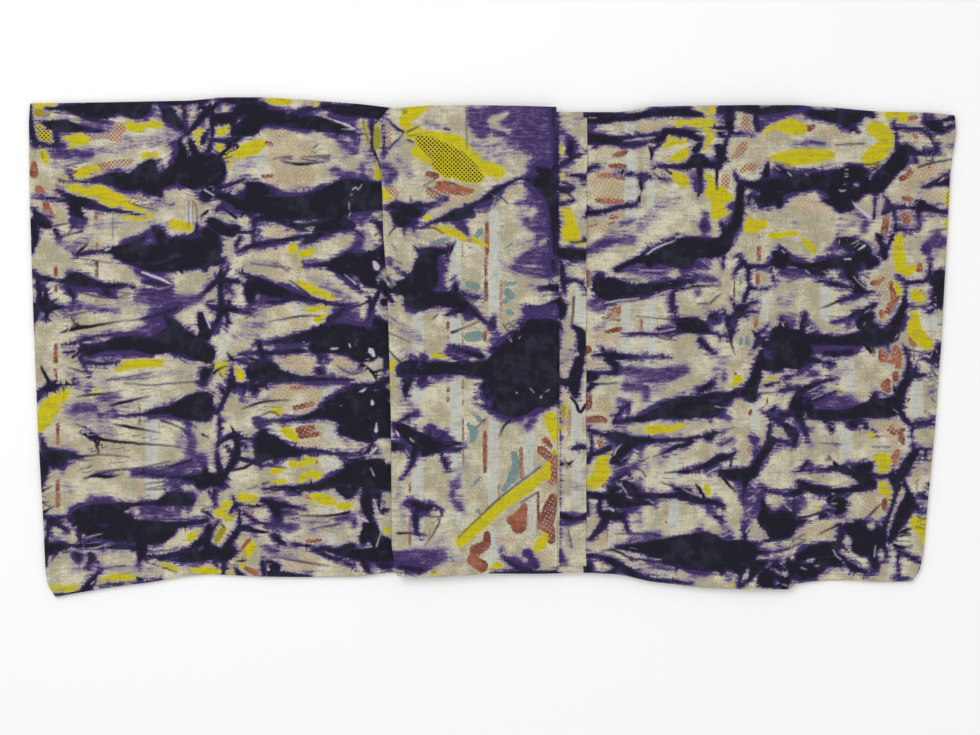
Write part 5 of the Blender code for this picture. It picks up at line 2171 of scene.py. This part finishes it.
brick 888 382 3.4  886 386 4.4  889 390 3
brick 893 290 2.6  896 296 5  894 300 2
brick 892 283 2.4  891 287 2
brick 892 306 4.4  890 311 3.4
brick 882 312 2.6  882 316 2
brick 884 279 2
tan 888 276 6  880 296 6
yellow 897 284 2  900 292 2.4
pale 902 288 1.6  902 296 1.6
line 903 343 .6  907 350 1.4
dye 907 350 1.4  909 358 1.4  909 368 2  909 376 4
line 909 350 1.2  918 351.6 .8  928 354.6 1
dye 928 354.6 1  935 354 3  940 352 3
dye 934 356 3  938 360 3
dye 940 346 2.4  938 352 3
light 924 355 .9  931 357 1.2
light 937 349 .6  938 353 .5
light 936 363 .6  938 366 .8
dye 922 358 .8  930 361 1.6  938 366 2
dye 911 362 1.2  913 372 1.6
dye 916 364 1  918 374 1.6
dye 908 376 4  914 376 3  922 375.4 1.4  930 374 .6
rust 914.6 353 1  914.6 359 1
tan 924 369 4
brick 920 366 1.6
line 931 366 .8  934 372 .8  938 377 1.2
line 926 376 .5  932 380 .6  940 384 .4
line 893.6 382 .5  895 388 1.2  896 392 1.6
dye 908 380 4  902 390 5  898 400 6  888 404 7  876 406 7
dye 876 394 2  874 401 4
wash 872 404 1.6
line 910 388 .5  909 391 1
brick 909 400 2
pale 918 382 6  918 412 6
haze 932 392 5
line 928 387 .5  936 386 .4
line 930 392 .5  937 390 .8
line 932 398 .6  936 402 .6
dye 872 409 9  888 408 10  898 408 6
wash 896 411 2.4
light 894 409 .5  899 413 .5
dye 902 414 3  907 421 2.4  914 425.6 1.6  926 425.6 1.2  936 425 1.2
dye 918 421 1.6  928 423 2  934 419 1
light 917 419 .6  922 421 .6
rust 926 410 .8  926 414 .6
teal 930 414 2  931 416 2
teal 928 435 1.6
dye 912.6 428 1.2  913 438 1  913.4 448 1.4
dye 914 449 1.4  924 449.4 1  935 450 .8
dye 916 453 4  910 461 5  905 470 5  899 478 5
dye 920 456 1.4  919.6 464 .6
dye 926 452 1.8  927 460 1
line 928 461 .8  936 460 .5
tan 886 426 8  894 440 8
brick 888 429 1.2  894 434 1.8
brick 893 425 1  893 432 1.6
brick 898 432 2.4  904 430 2.4
brick 902 438 3.4  904 443 2
brick 899 451 2  896 457 3.4  892 462 2.4
brick 898 464 1.6
dye 872 428 .8  878 436 .8
yellow 872 434 3  875 438 2
pale 909 430 2.4  909 448 2
line 872 447 .5  892 447 .5
yellow 878 460 4  884 458 4  886 466 6  882 471 3
dye 872 474 1.6  882 477 1.4  890 476 2.4  895 472 2  894 468 .6
dye 896 480 6  898 488 4
dye 897 486 3  896 496 1.4  892.6 508 1.4
dye 892.6 508 1.4  888 519 1.6  884 530 2.4  880 540 5
dye 903 482 3  908 490 2  910 500 6  906 510 8
dye 906 510 8  901 520 6  896 530 4  891 540 3.4
light 901 483 .8  904 483 .5
yellow 882 484 3  884 490 4  890 494 2.4  892 504 1.6
brick 886 500 2.4  885 506 3  887 510 2.4
tan 900 494 3  897 506 3  891 524 4  887 536 3
yellow 902 492 1.6
rust 918 470 .7  918 478 .8  917 490 .6
haze 926 470 4
line 924 487 .6  932 491.5 1.2
line 919 492 .6  926 496 1.6
dye 926 496 1.6  932 500 1.6
dye 909 494 .8  918 495.4 1  926 498 1.8
dye 931 484 1.2
dye 914 506 3  922 511 1.4  930 510.6 1.2
yellow 914 521 3  920 526 6  926 524 6  924 532 5
yellow 925 542 2.4
line 900 534 2  908 530 1.4  913 529 .6
line 900 536 1.4  912 534.6 .8
bare 905 528 .8  912 520 1.4
line 918 516 .8  922 519 .6  929 518.6 .7
line 916 527 .4  926 529 .4
line 894 545 1.6  903 548 1.4  914 545 .6
line 908 548 .8  914 549 .4
dye 896 548 1.4  904 554 1.6  914 559 1.6  922 563 1.8  925 568 2
dye 924.6 568 2  923 576 2.4  920 580 1
dye 899 552 1.2  899 566 1.2  899.6 578 1.4
wash 894 578 3
dye 899 580 1.4  908 579 1
line 908 577 .8  913 580 .6
dye 884 546 3  887 552 1.6  886 560 .8  882 562 .6
dye 874 556 4  876 568 3
wash 876 572 3
bare 880 552 2  882 558 2
light 876 546 .8  875 556 .8
tan 886 568 2  886 576 1.6
pale 893 552 4  893 572 4
node 748 424 18
node 640 464 14
node 858 480 16
"""
# Print and dye, laid over the charts
CHART_UNIT = 0.00119
PHOTO_WIDTH, PHOTO_HEIGHT = 980, 735
CHART_X, CHART_Y = 492.5, 347.5  # the chart's place for X 0 and Y 0
FLAP_FROM, RIGHT_FROM = 386.0, 587.0  # chart x of the flap's fold and of the ledge's end
FAR = 24.0  # chart units: further off than this, a stroke has no effect
PINCH = 1.6  # how strongly the streaks close in on a node
LINE_REACH = 7.0
NO_LINE = 9.0
LINE_TAPER = 1.2  # what a line's half-width loses to a chart unit beyond its end
WASH_OUTSIDE, WASH_INSIDE = 5.0, 3.0  # a wash fades in over this, about its outline
BARE_FADE, BARE_CLEARS = 2.0, 0.85


def chart_place(x, y):
    return x / CHART_UNIT + CHART_X, CHART_Y - y / CHART_UNIT


def smooth_path(points):
    """A stroke's few points, x y half-width, filled in along a smooth curve."""
    rows = np.array(points, float)
    if len(rows) == 1:
        return np.concatenate((rows, rows + (0.01, 0.0, 0.0)))
    if len(rows) == 2:
        return rows
    padded = np.concatenate((2 * rows[:1] - rows[1:2], rows, 2 * rows[-1:] - rows[-2:-1]))
    filled = [rows[0]]
    for a, b, c, d in zip(padded, padded[1:], padded[2:], padded[3:]):
        for on in (0.25, 0.5, 0.75, 1.0):
            filled.append(0.5 * (2 * b + (c - a) * on + (2 * a - 5 * b + 4 * c - d) * on * on
                                 + (3 * b - a - 3 * c + d) * on ** 3))
    path = np.array(filled)
    path[:, 2] = np.maximum(path[:, 2], 0.0)
    return path


def reach_inside(points, x, y):
    """Distance inside a stroke's outline, less than zero outside, and the nearest place
    on the outline."""
    depth = np.full(x.shape, -FAR)
    foot_x, foot_y = x.copy(), y.copy()
    path = smooth_path(points)
    for (x0, y0, w0), (x1, y1, w1) in zip(path, path[1:]):
        run_x, run_y = x1 - x0, y1 - y0
        length = run_x * run_x + run_y * run_y + 1e-9
        ahead = np.clip(((x - x0) * run_x + (y - y0) * run_y) / length, 0.0, 1.0)
        away_x, away_y = x - x0 - ahead * run_x, y - y0 - ahead * run_y
        away = np.hypot(away_x, away_y) + 1e-6
        width = w0 + ahead * (w1 - w0)
        inside = width - away
        nearer = inside > depth
        depth = np.where(nearer, inside, depth)
        foot_x = np.where(nearer, x + away_x / away * inside, foot_x)
        foot_y = np.where(nearer, y + away_y / away * inside, foot_y)
    return depth, foot_x, foot_y


def draw_line(here, away, near, points, x, y, tone):
    """A thin line: how far aside of it a place lies, with a sign, its half-width and tone."""
    path = smooth_path(points)
    for (x0, y0, w0), (x1, y1, w1) in zip(path, path[1:]):
        run_x, run_y = x1 - x0, y1 - y0
        length = math.hypot(run_x, run_y) + 1e-9
        ahead = ((x[near] - x0) * run_x + (y[near] - y0) * run_y) / length
        aside = ((x[near] - x0) * run_y - (y[near] - y0) * run_x) / length
        beyond = np.maximum(np.maximum(-ahead, ahead - length), 0.0)
        distance = np.hypot(aside, beyond)
        closer = distance < away[near]
        chosen = near[closer]
        away[chosen] = distance[closer]
        here["aside"][chosen] = aside[closer]
        width = w0 + np.clip(ahead / length, 0.0, 1.0) * (w1 - w0)
        here["half"][chosen] = (width - LINE_TAPER * beyond)[closer]
        here["tone"][chosen] = tone


# Strokes that fill more than one layer of the print
FILLS = {
    "dotted": (("yellow", 0.0), ("grid", 0.0)),
    "olive": (("yellow", 0.0), ("old", 0.0)),
    "tan": (("spots", 0.0),),
    "brick": (("spots", 2.0), ("rust", 0.0)),
}
PURPLE = {"wash": 0.9, "haze": 0.5}
LAYERS = ("dye", "wash", "flow", "foot_x", "foot_y", "yellow", "old", "grid",
          "rust", "teal", "pale", "lattice", "spots", "aside", "half", "tone")


def painted(chart, x, y):
    """The layers of one chart at these places of it."""
    here = {name: np.full(x.shape, -FAR) for name in LAYERS}
    here["foot_x"], here["foot_y"], here["flow"] = x.copy(), y.copy(), y.copy()
    here["wash"][:] = 0.0
    here["tone"][:] = 0.0
    here["half"][:] = -NO_LINE
    here["aside"][:] = NO_LINE
    away = np.full(x.shape, LINE_REACH)
    for row in chart.strip().splitlines():
        ink, *numbers = row.split()
        if ink == "node":
            at_x, at_y, reach = map(float, numbers)
            nearness = np.exp(-((x - at_x) ** 2 + (y - at_y) ** 2) / reach ** 2)
            here["flow"] += PINCH * (y - at_y) * nearness
            continue
        points = np.array(numbers, float).reshape(-1, 3)
        margin = points[:, 2].max() + FAR
        low, high = points.min(axis=0) - margin, points.max(axis=0) + margin
        near = np.flatnonzero((x > low[0]) & (x < high[0]) & (y > low[1]) & (y < high[1]))
        if not len(near):
            continue
        if ink in ("line", "light"):
            draw_line(here, away, near, points, x, y, float(ink == "light"))
            continue
        depth, foot_x, foot_y = reach_inside(points, x[near], y[near])
        if ink in ("dye", "bare"):
            side = 1.0 if ink == "dye" else -1.0
            old = here["dye"][near]
            wins = side * depth > old if ink == "dye" else side * depth < old
            chosen = near[wins]
            here["dye"][chosen] = side * depth[wins]
            here["foot_x"][chosen], here["foot_y"][chosen] = foot_x[wins], foot_y[wins]
            if ink == "bare":
                cleared = np.clip((depth + BARE_FADE) / (2 * BARE_FADE), 0.0, 1.0)
                here["wash"][near] *= 1.0 - BARE_CLEARS * cleared
        elif ink in PURPLE:
            fade = np.clip((depth + WASH_OUTSIDE) / (WASH_OUTSIDE + WASH_INSIDE), 0.0, 1.0)
            level = PURPLE[ink] * fade
            here["wash"][near] = np.maximum(here["wash"][near], level)
        else:
            for layer, inset in FILLS.get(ink, ((ink, 0.0),)):
                here[layer][near] = np.maximum(here[layer][near], depth - inset)
    return here


def paint(points, charts):
    """Every corner's layers. The hidden plies are dyed like the ply above them."""
    x, y = chart_place(points[:, 0], points[:, 1])
    layers = {name: np.zeros(len(x)) for name in LAYERS}
    left, right = x < FLAP_FROM, x > RIGHT_FROM
    hidden = charts == "base"
    for name, chart in (("left", LEFT), ("flap", FLAP), ("ledge", LEDGE), ("right", RIGHT)):
        mine = charts == name
        if name == "left":
            mine |= hidden & left
        elif name == "right":
            mine |= hidden & right
        elif name == "flap":
            mine |= hidden & ~left & ~right
        mine = np.flatnonzero(mine)
        for layer, values in painted(chart, x[mine], y[mine]).items():
            layers[layer][mine] = values
    return layers


# Blender attribute: its layers, up to three
PACKED = {
    "dye": ("dye", "wash", "flow"),
    "foot": ("foot_x", "foot_y"),
    "print": ("yellow", "old", "grid"),
    "second": ("rust", "teal", "pale"),
    "motif": ("lattice", "spots", "tone"),
    "stroke": ("aside", "half"),
}


def store(mesh, layers, flat):
    for name, parts in PACKED.items():
        values = np.zeros((len(flat), 3), dtype=np.float32)
        for column, part in enumerate(parts):
            values[:, column] = layers[part]
        mesh.attributes.new(name, "FLOAT_VECTOR", "POINT").data.foreach_set(
            "vector", values.ravel())
    corner = np.empty(len(mesh.loops), dtype=np.int32)
    mesh.loops.foreach_get("vertex_index", corner)
    mesh.uv_layers.new(name="cloth").data.foreach_set(
        "uv", flat[corner].astype(np.float32).ravel())


# Material
def linear(code):
    """A colour given as six hexadecimal digits, as Blender wants it."""
    shares = [int(code[start:start + 2], 16) / 255 for start in (0, 2, 4)]
    return tuple(share / 12.92 if share < 0.04045 else ((share + 0.055) / 1.055) ** 2.4
                 for share in shares) + (1.0,)


class Wiring:
    """Short names for the nodes of one material. A value is a number or another's output."""

    def __init__(self, tree):
        self.tree = tree

    def node(self, kind, **settings):
        made = self.tree.nodes.new("ShaderNode" + kind)
        for key, value in settings.items():
            setattr(made, key, value)
        return made

    def feed(self, socket, value):
        if isinstance(value, bpy.types.NodeSocket):
            self.tree.links.new(value, socket)
        else:
            socket.default_value = value

    def math(self, operation, *values):
        made = self.node("Math", operation=operation)
        for socket, value in zip(made.inputs, values):
            self.feed(socket, value)
        return made.outputs[0]

    def add(self, *values):
        total = values[0]
        for value in values[1:]:
            total = self.math("ADD", total, value)
        return total

    def times(self, *values):
        product = values[0]
        for value in values[1:]:
            product = self.math("MULTIPLY", product, value)
        return product

    def step(self, value, low, high, to_low=0.0, to_high=1.0):
        """Goes smoothly from to_low to to_high as value goes from low to high."""
        made = self.node("MapRange", interpolation_type="SMOOTHSTEP")
        for name, given in (("Value", value), ("From Min", low), ("From Max", high),
                            ("To Min", to_low), ("To Max", to_high)):
            self.feed(made.inputs[name], given)
        return made.outputs["Result"]

    def mix(self, share, under, over):
        made = self.node("MixRGB")
        for socket, value in zip(made.inputs, (share, under, over)):
            self.feed(socket, value)
        return made.outputs[0]

    def layers(self, name):
        parts = self.node("SeparateXYZ")
        source = self.node("Attribute", attribute_name=name)
        self.feed(parts.inputs[0], source.outputs["Vector"])
        return parts.outputs[0], parts.outputs[1], parts.outputs[2]

    def vector(self, x, y, z=0.0):
        made = self.node("CombineXYZ")
        for socket, value in zip(made.inputs, (x, y, z)):
            self.feed(socket, value)
        return made.outputs[0]

    def noise(self, place, scale, detail=2.0, rough=0.5):
        """Noise about zero, mostly between -0.25 and 0.25."""
        made = self.node("TexNoise")
        self.feed(made.inputs["Vector"], place)
        made.inputs["Scale"].default_value = scale
        made.inputs["Detail"].default_value = detail
        made.inputs["Roughness"].default_value = rough
        return self.math("SUBTRACT", made.outputs["Fac"], 0.5)

    def drawn_out(self, x, y, scale_x, scale_y, detail=2.0, rough=0.5):
        """Noise with its own scale each way, so that its blots are long and thin."""
        place = self.vector(self.times(x, scale_x), self.times(y, scale_y))
        return self.noise(place, 1.0, detail, rough)


INK = {
    "black": "171522", "night": "2a2147", "violet": "3b2b5c", "mauve": "6c5c80",
    "lilac": "948b92", "cream": "ccc6ad", "straw": "a39b7e", "drab": "a39a80",
    "pale": "b9bdb6", "yellow": "bdb113", "olive": "8f8526", "tan": "ae9370",
    "rust": "6d3a2a", "brick": "98583a", "teal": "6b8583", "ivory": "d8d0b8",
    "dot": "2b2410", "gleam": "b9afc4", "slate": "262736",
}
INK = {name: linear(code) for name, code in INK.items()}
SPOT_TURN, CELL_TURN = 1.2, 1.5  # radians of a dotted repeat to a chart unit


def printed_ground(w, x, y, grain, patch, streak):
    """The cloth's print, before the dye."""
    yellow, old, grid = w.layers("print")
    rust, teal, pale = w.layers("second")
    lattice, spots, _ = w.layers("motif")
    rough = w.times(grain, 5.0)
    ground = w.mix(w.step(w.add(patch, w.times(grain, 0.7)), -0.18, 0.14), INK["cream"], INK["straw"])
    ground = w.mix(w.step(streak, 0.0, 0.22, 0.0, 0.6), ground, INK["drab"])
    ground = w.mix(w.step(w.add(pale, rough), -0.6, 0.6, 0.0, 0.75), ground, INK["pale"])
    ground = w.mix(w.step(w.add(teal, rough), -0.6, 0.6), ground, INK["teal"])

    across = w.math("SINE", w.times(w.add(x, w.times(y, 0.25)), SPOT_TURN))
    down = w.math("SINE", w.times(w.add(y, w.times(x, -0.25)), SPOT_TURN))
    spot = w.times(w.step(w.times(across, down), 0.40, 0.75),
                   w.step(w.add(spots, w.times(grain, 8.0)), -1.0, 1.0))
    ground = w.mix(w.step(w.add(spots, w.times(patch, 12.0)), -3.0, 3.0, 0.0, 0.55), ground, INK["tan"])
    rusty = w.mix(w.step(patch, -0.1, 0.1), INK["rust"], INK["brick"])
    ground = w.mix(w.step(w.add(rust, w.times(grain, 4.0)), -1.2, 0.4), ground, rusty)
    ground = w.mix(w.times(spot, 0.45), ground, INK["ivory"])
    cell = w.times(w.math("SINE", w.times(x, CELL_TURN)), w.math("SINE", w.times(y, CELL_TURN)))
    netted = w.step(w.add(lattice, w.times(grain, 3.0)), -1.5, 0.3)
    red_cell = w.times(w.step(cell, -0.25, 0.1, 0.15, 0.95), netted)
    ground = w.mix(red_cell, ground, INK["brick"])

    gold = w.mix(w.step(streak, -0.05, 0.25, 0.0, 0.7), INK["yellow"], INK["olive"])
    gold = w.mix(w.step(w.add(old, rough), -1.0, 1.0), gold, INK["olive"])
    gold_edge = w.add(yellow, w.times(grain, 4.0), w.times(streak, 3.0))
    ground = w.mix(w.step(gold_edge, -2.2, -0.4), ground, gold)
    dot = w.times(w.step(cell, 0.05, 0.30), w.step(grid, -1.0, 1.5))
    return w.mix(dot, ground, INK["dot"])


def cloth_material():
    material = bpy.data.materials.new("adire_cotton")
    material.use_nodes = True
    tree = material.node_tree
    shader = tree.nodes["Principled BSDF"]
    w = Wiring(tree)
    unit = w.node("VectorMath", operation="SCALE")
    w.feed(unit.inputs[0], w.node("TexCoord").outputs["Object"])
    unit.inputs["Scale"].default_value = 1.0 / CHART_UNIT
    unit = unit.outputs[0]
    split = w.node("SeparateXYZ")
    w.feed(split.inputs[0], unit)
    x, y = split.outputs[0], split.outputs[1]
    dye, wash, flow = w.layers("dye")
    yellow, _, _ = w.layers("print")
    foot_x, foot_y, _ = w.layers("foot")
    _, _, tone = w.layers("motif")
    aside, half, _ = w.layers("stroke")

    # Unevenness: all ways, along the streaks, in the threads, and round each outline
    grain = w.noise(unit, 0.62, 3.0, 0.65)
    middle = w.noise(unit, 0.13, 3.0, 0.55)
    patch = w.noise(unit, 0.045, 3.0, 0.55)
    blot = w.noise(w.vector(x, y, 40.0), 0.06, 3.0, 0.6)
    streak = w.drawn_out(x, flow, 0.07, 0.34, 4.0, 0.6)
    fine = w.drawn_out(x, flow, 0.30, 0.9, 3.0, 0.65)
    fleck = w.noise(unit, 1.1, 2.0, 0.7)
    slub_x = w.drawn_out(x, y, 0.05, 1.3)
    slub_y = w.drawn_out(x, y, 1.3, 0.05)
    foot = w.vector(foot_x, foot_y)
    spike = w.noise(foot, 0.42, 3.0, 0.65)
    reach = w.noise(foot, 0.05)

    # Deep dye, with an uneven outline drawn out along the streaks and a purple halo
    barbs = w.times(w.step(spike, 0.0, 0.20), w.step(reach, 0.0, 0.12), 3.6)
    ragged = w.add(w.times(middle, 3.0), w.times(grain, 2.4), w.times(streak, 1.8), barbs)
    edge = w.add(dye, ragged)
    margin = w.step(w.add(blot, w.times(streak, 0.4)), -0.08, 0.24, 0.1, 3.4)
    haloed = w.add(edge, margin)
    uneven = w.add(w.times(streak, 1.15), w.times(fine, 0.85), w.times(grain, 0.3), w.times(middle, 0.4))
    veil = w.add(w.step(haloed, -5.0, 1.2, 0.0, 0.60), w.math("MAXIMUM", wash, 0.12), uneven,
                 w.step(yellow, -2.0, 0.0, 0.0, -0.15))

    colour = printed_ground(w, x, y, grain, patch, streak)
    colour = w.mix(w.step(veil, 0.05, 0.52, 0.0, 0.75), colour, INK["lilac"])
    colour = w.mix(w.step(veil, 0.38, 0.72), colour, INK["mauve"])
    colour = w.mix(w.step(veil, 0.60, 1.00), colour, INK["violet"])
    faded = w.step(w.add(middle, w.times(fine, 0.8)), -0.05, 0.30, 0.0, 0.55)
    worn = w.mix(faded, INK["violet"], INK["mauve"])
    colour = w.mix(w.step(w.add(edge, w.times(margin, 0.3)), -1.2, 0.8), colour, worn)
    colour = w.mix(w.step(edge, -0.7, 0.8), colour, INK["night"])
    inner = w.step(w.add(blot, w.times(streak, 0.6)), 0.05, 0.26, 0.6, 5.0)
    deep = w.mix(w.step(w.add(patch, w.times(middle, 0.5)), -0.02, 0.22), INK["black"], INK["slate"])
    colour = w.mix(w.step(w.add(edge, w.times(inner, -1.0)), -0.8, 1.6), colour, deep)

    # Thin lines, dark or light
    off_line = w.math("ABSOLUTE", w.add(aside, w.times(middle, 2.0), w.times(grain, 1.5)))
    beside = w.add(half, w.times(off_line, -1.0), w.times(tone, -0.5), w.times(fine, 1.5))
    thick = w.step(half, 0.2, 1.5, 0.30, 1.0)
    ink = w.mix(tone, w.mix(thick, INK["violet"], INK["black"]), INK["gleam"])
    colour = w.mix(w.step(beside, -1.6, -0.2, 0.0, 0.35), colour, w.mix(tone, INK["violet"], INK["lilac"]))
    colour = w.mix(w.times(w.step(beside, -0.5, 0.4), thick), colour, ink)

    # Weave: thick and thin threads both ways
    thread = w.add(w.step(slub_x, -0.2, 0.2, 0.90, 1.04), w.step(slub_y, -0.2, 0.2, -0.07, 0.09),
                   w.times(fleck, 1.1), w.times(grain, 0.5))
    shade = w.node("VectorMath", operation="SCALE")
    w.feed(shade.inputs[0], colour)
    w.feed(shade.inputs["Scale"], thread)
    w.feed(shader.inputs["Base Color"], shade.outputs[0])
    w.feed(shader.inputs["Roughness"], w.step(grain, -0.2, 0.2, 0.80, 0.95))
    shader.inputs["Specular IOR Level"].default_value = 0.2
    shader.inputs["Sheen Weight"].default_value = 0.04
    shader.inputs["Sheen Roughness"].default_value = 0.5

    weave = w.node("Bump")
    weave.inputs["Strength"].default_value = 0.4
    weave.inputs["Distance"].default_value = 0.0005
    crinkle = w.drawn_out(x, flow, 0.07, 0.25, 3.0)
    w.feed(weave.inputs["Height"], w.add(w.times(crinkle, 2.5), slub_x, slub_y))
    w.feed(shader.inputs["Normal"], weave.outputs[0])
    return material


mesh, points, flat, charts = folded_sheet()
layers = paint(points, charts)
store(mesh, layers, flat)
cloth = bpy.data.objects.new("adire_cloth", mesh)
bpy.context.scene.collection.objects.link(cloth)
mesh.materials.append(cloth_material())
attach(cloth, "root")
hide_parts("folded_cloth")


# Floor, light and camera
FLOOR_REACH = 4.0
FACES_UP = 0.012  # about the height of the cloth that shows


def plain_floor():
    floor_mesh = bpy.data.meshes.new("floor")
    around = ((-1, -1), (1, -1), (1, 1), (-1, 1))
    corners = [(FLOOR_REACH * x, FLOOR_REACH * y, 0.0) for x, y in around]
    floor_mesh.from_pydata(corners, [], [(0, 1, 2, 3)])
    floor = bpy.data.objects.new("floor", floor_mesh)
    bpy.context.scene.collection.objects.link(floor)
    paper = bpy.data.materials.new("floor_paper")
    paper.use_nodes = True
    shader = paper.node_tree.nodes["Principled BSDF"]
    shader.inputs["Base Color"].default_value = (0.93, 0.93, 0.93, 1.0)
    shader.inputs["Roughness"].default_value = 0.95
    floor_mesh.materials.append(paper)


def soft_light(name, place, size, power):
    data = bpy.data.lights.new(name, "AREA")
    data.shape = "SQUARE"
    data.size = size
    data.energy = power
    light = bpy.data.objects.new(name, data)
    light.location = place
    direction = -np.array(place)
    light.rotation_euler = (
        math.atan2(math.hypot(direction[0], direction[1]), -direction[2]), 0.0,
        math.atan2(direction[1], direction[0]) - math.pi / 2)
    bpy.context.scene.collection.objects.link(light)


def camera_above():
    data = bpy.data.cameras.new("camera")
    data.lens = 85.0
    data.sensor_width = 36.0
    frame_width = PHOTO_WIDTH * CHART_UNIT
    height = data.lens / data.sensor_width * frame_width + FACES_UP
    camera = bpy.data.objects.new("camera", data)
    camera.location = ((PHOTO_WIDTH / 2 - CHART_X) * CHART_UNIT,
                       (CHART_Y - PHOTO_HEIGHT / 2) * CHART_UNIT, height)
    bpy.context.scene.collection.objects.link(camera)
    bpy.context.scene.camera = camera


plain_floor()
soft_light("key", (-1.1, 0.9, 2.2), 1.4, 25.0)
soft_light("fill", (1.3, -0.6, 2.4), 2.0, 12.0)
camera_above()
world = bpy.data.worlds.new("studio")
world.use_nodes = True
world.node_tree.nodes["Background"].inputs["Color"].default_value = (1.0, 1.0, 1.0, 1.0)
world.node_tree.nodes["Background"].inputs["Strength"].default_value = 0.66
bpy.context.scene.world = world
bpy.context.scene.view_settings.view_transform = "Standard"
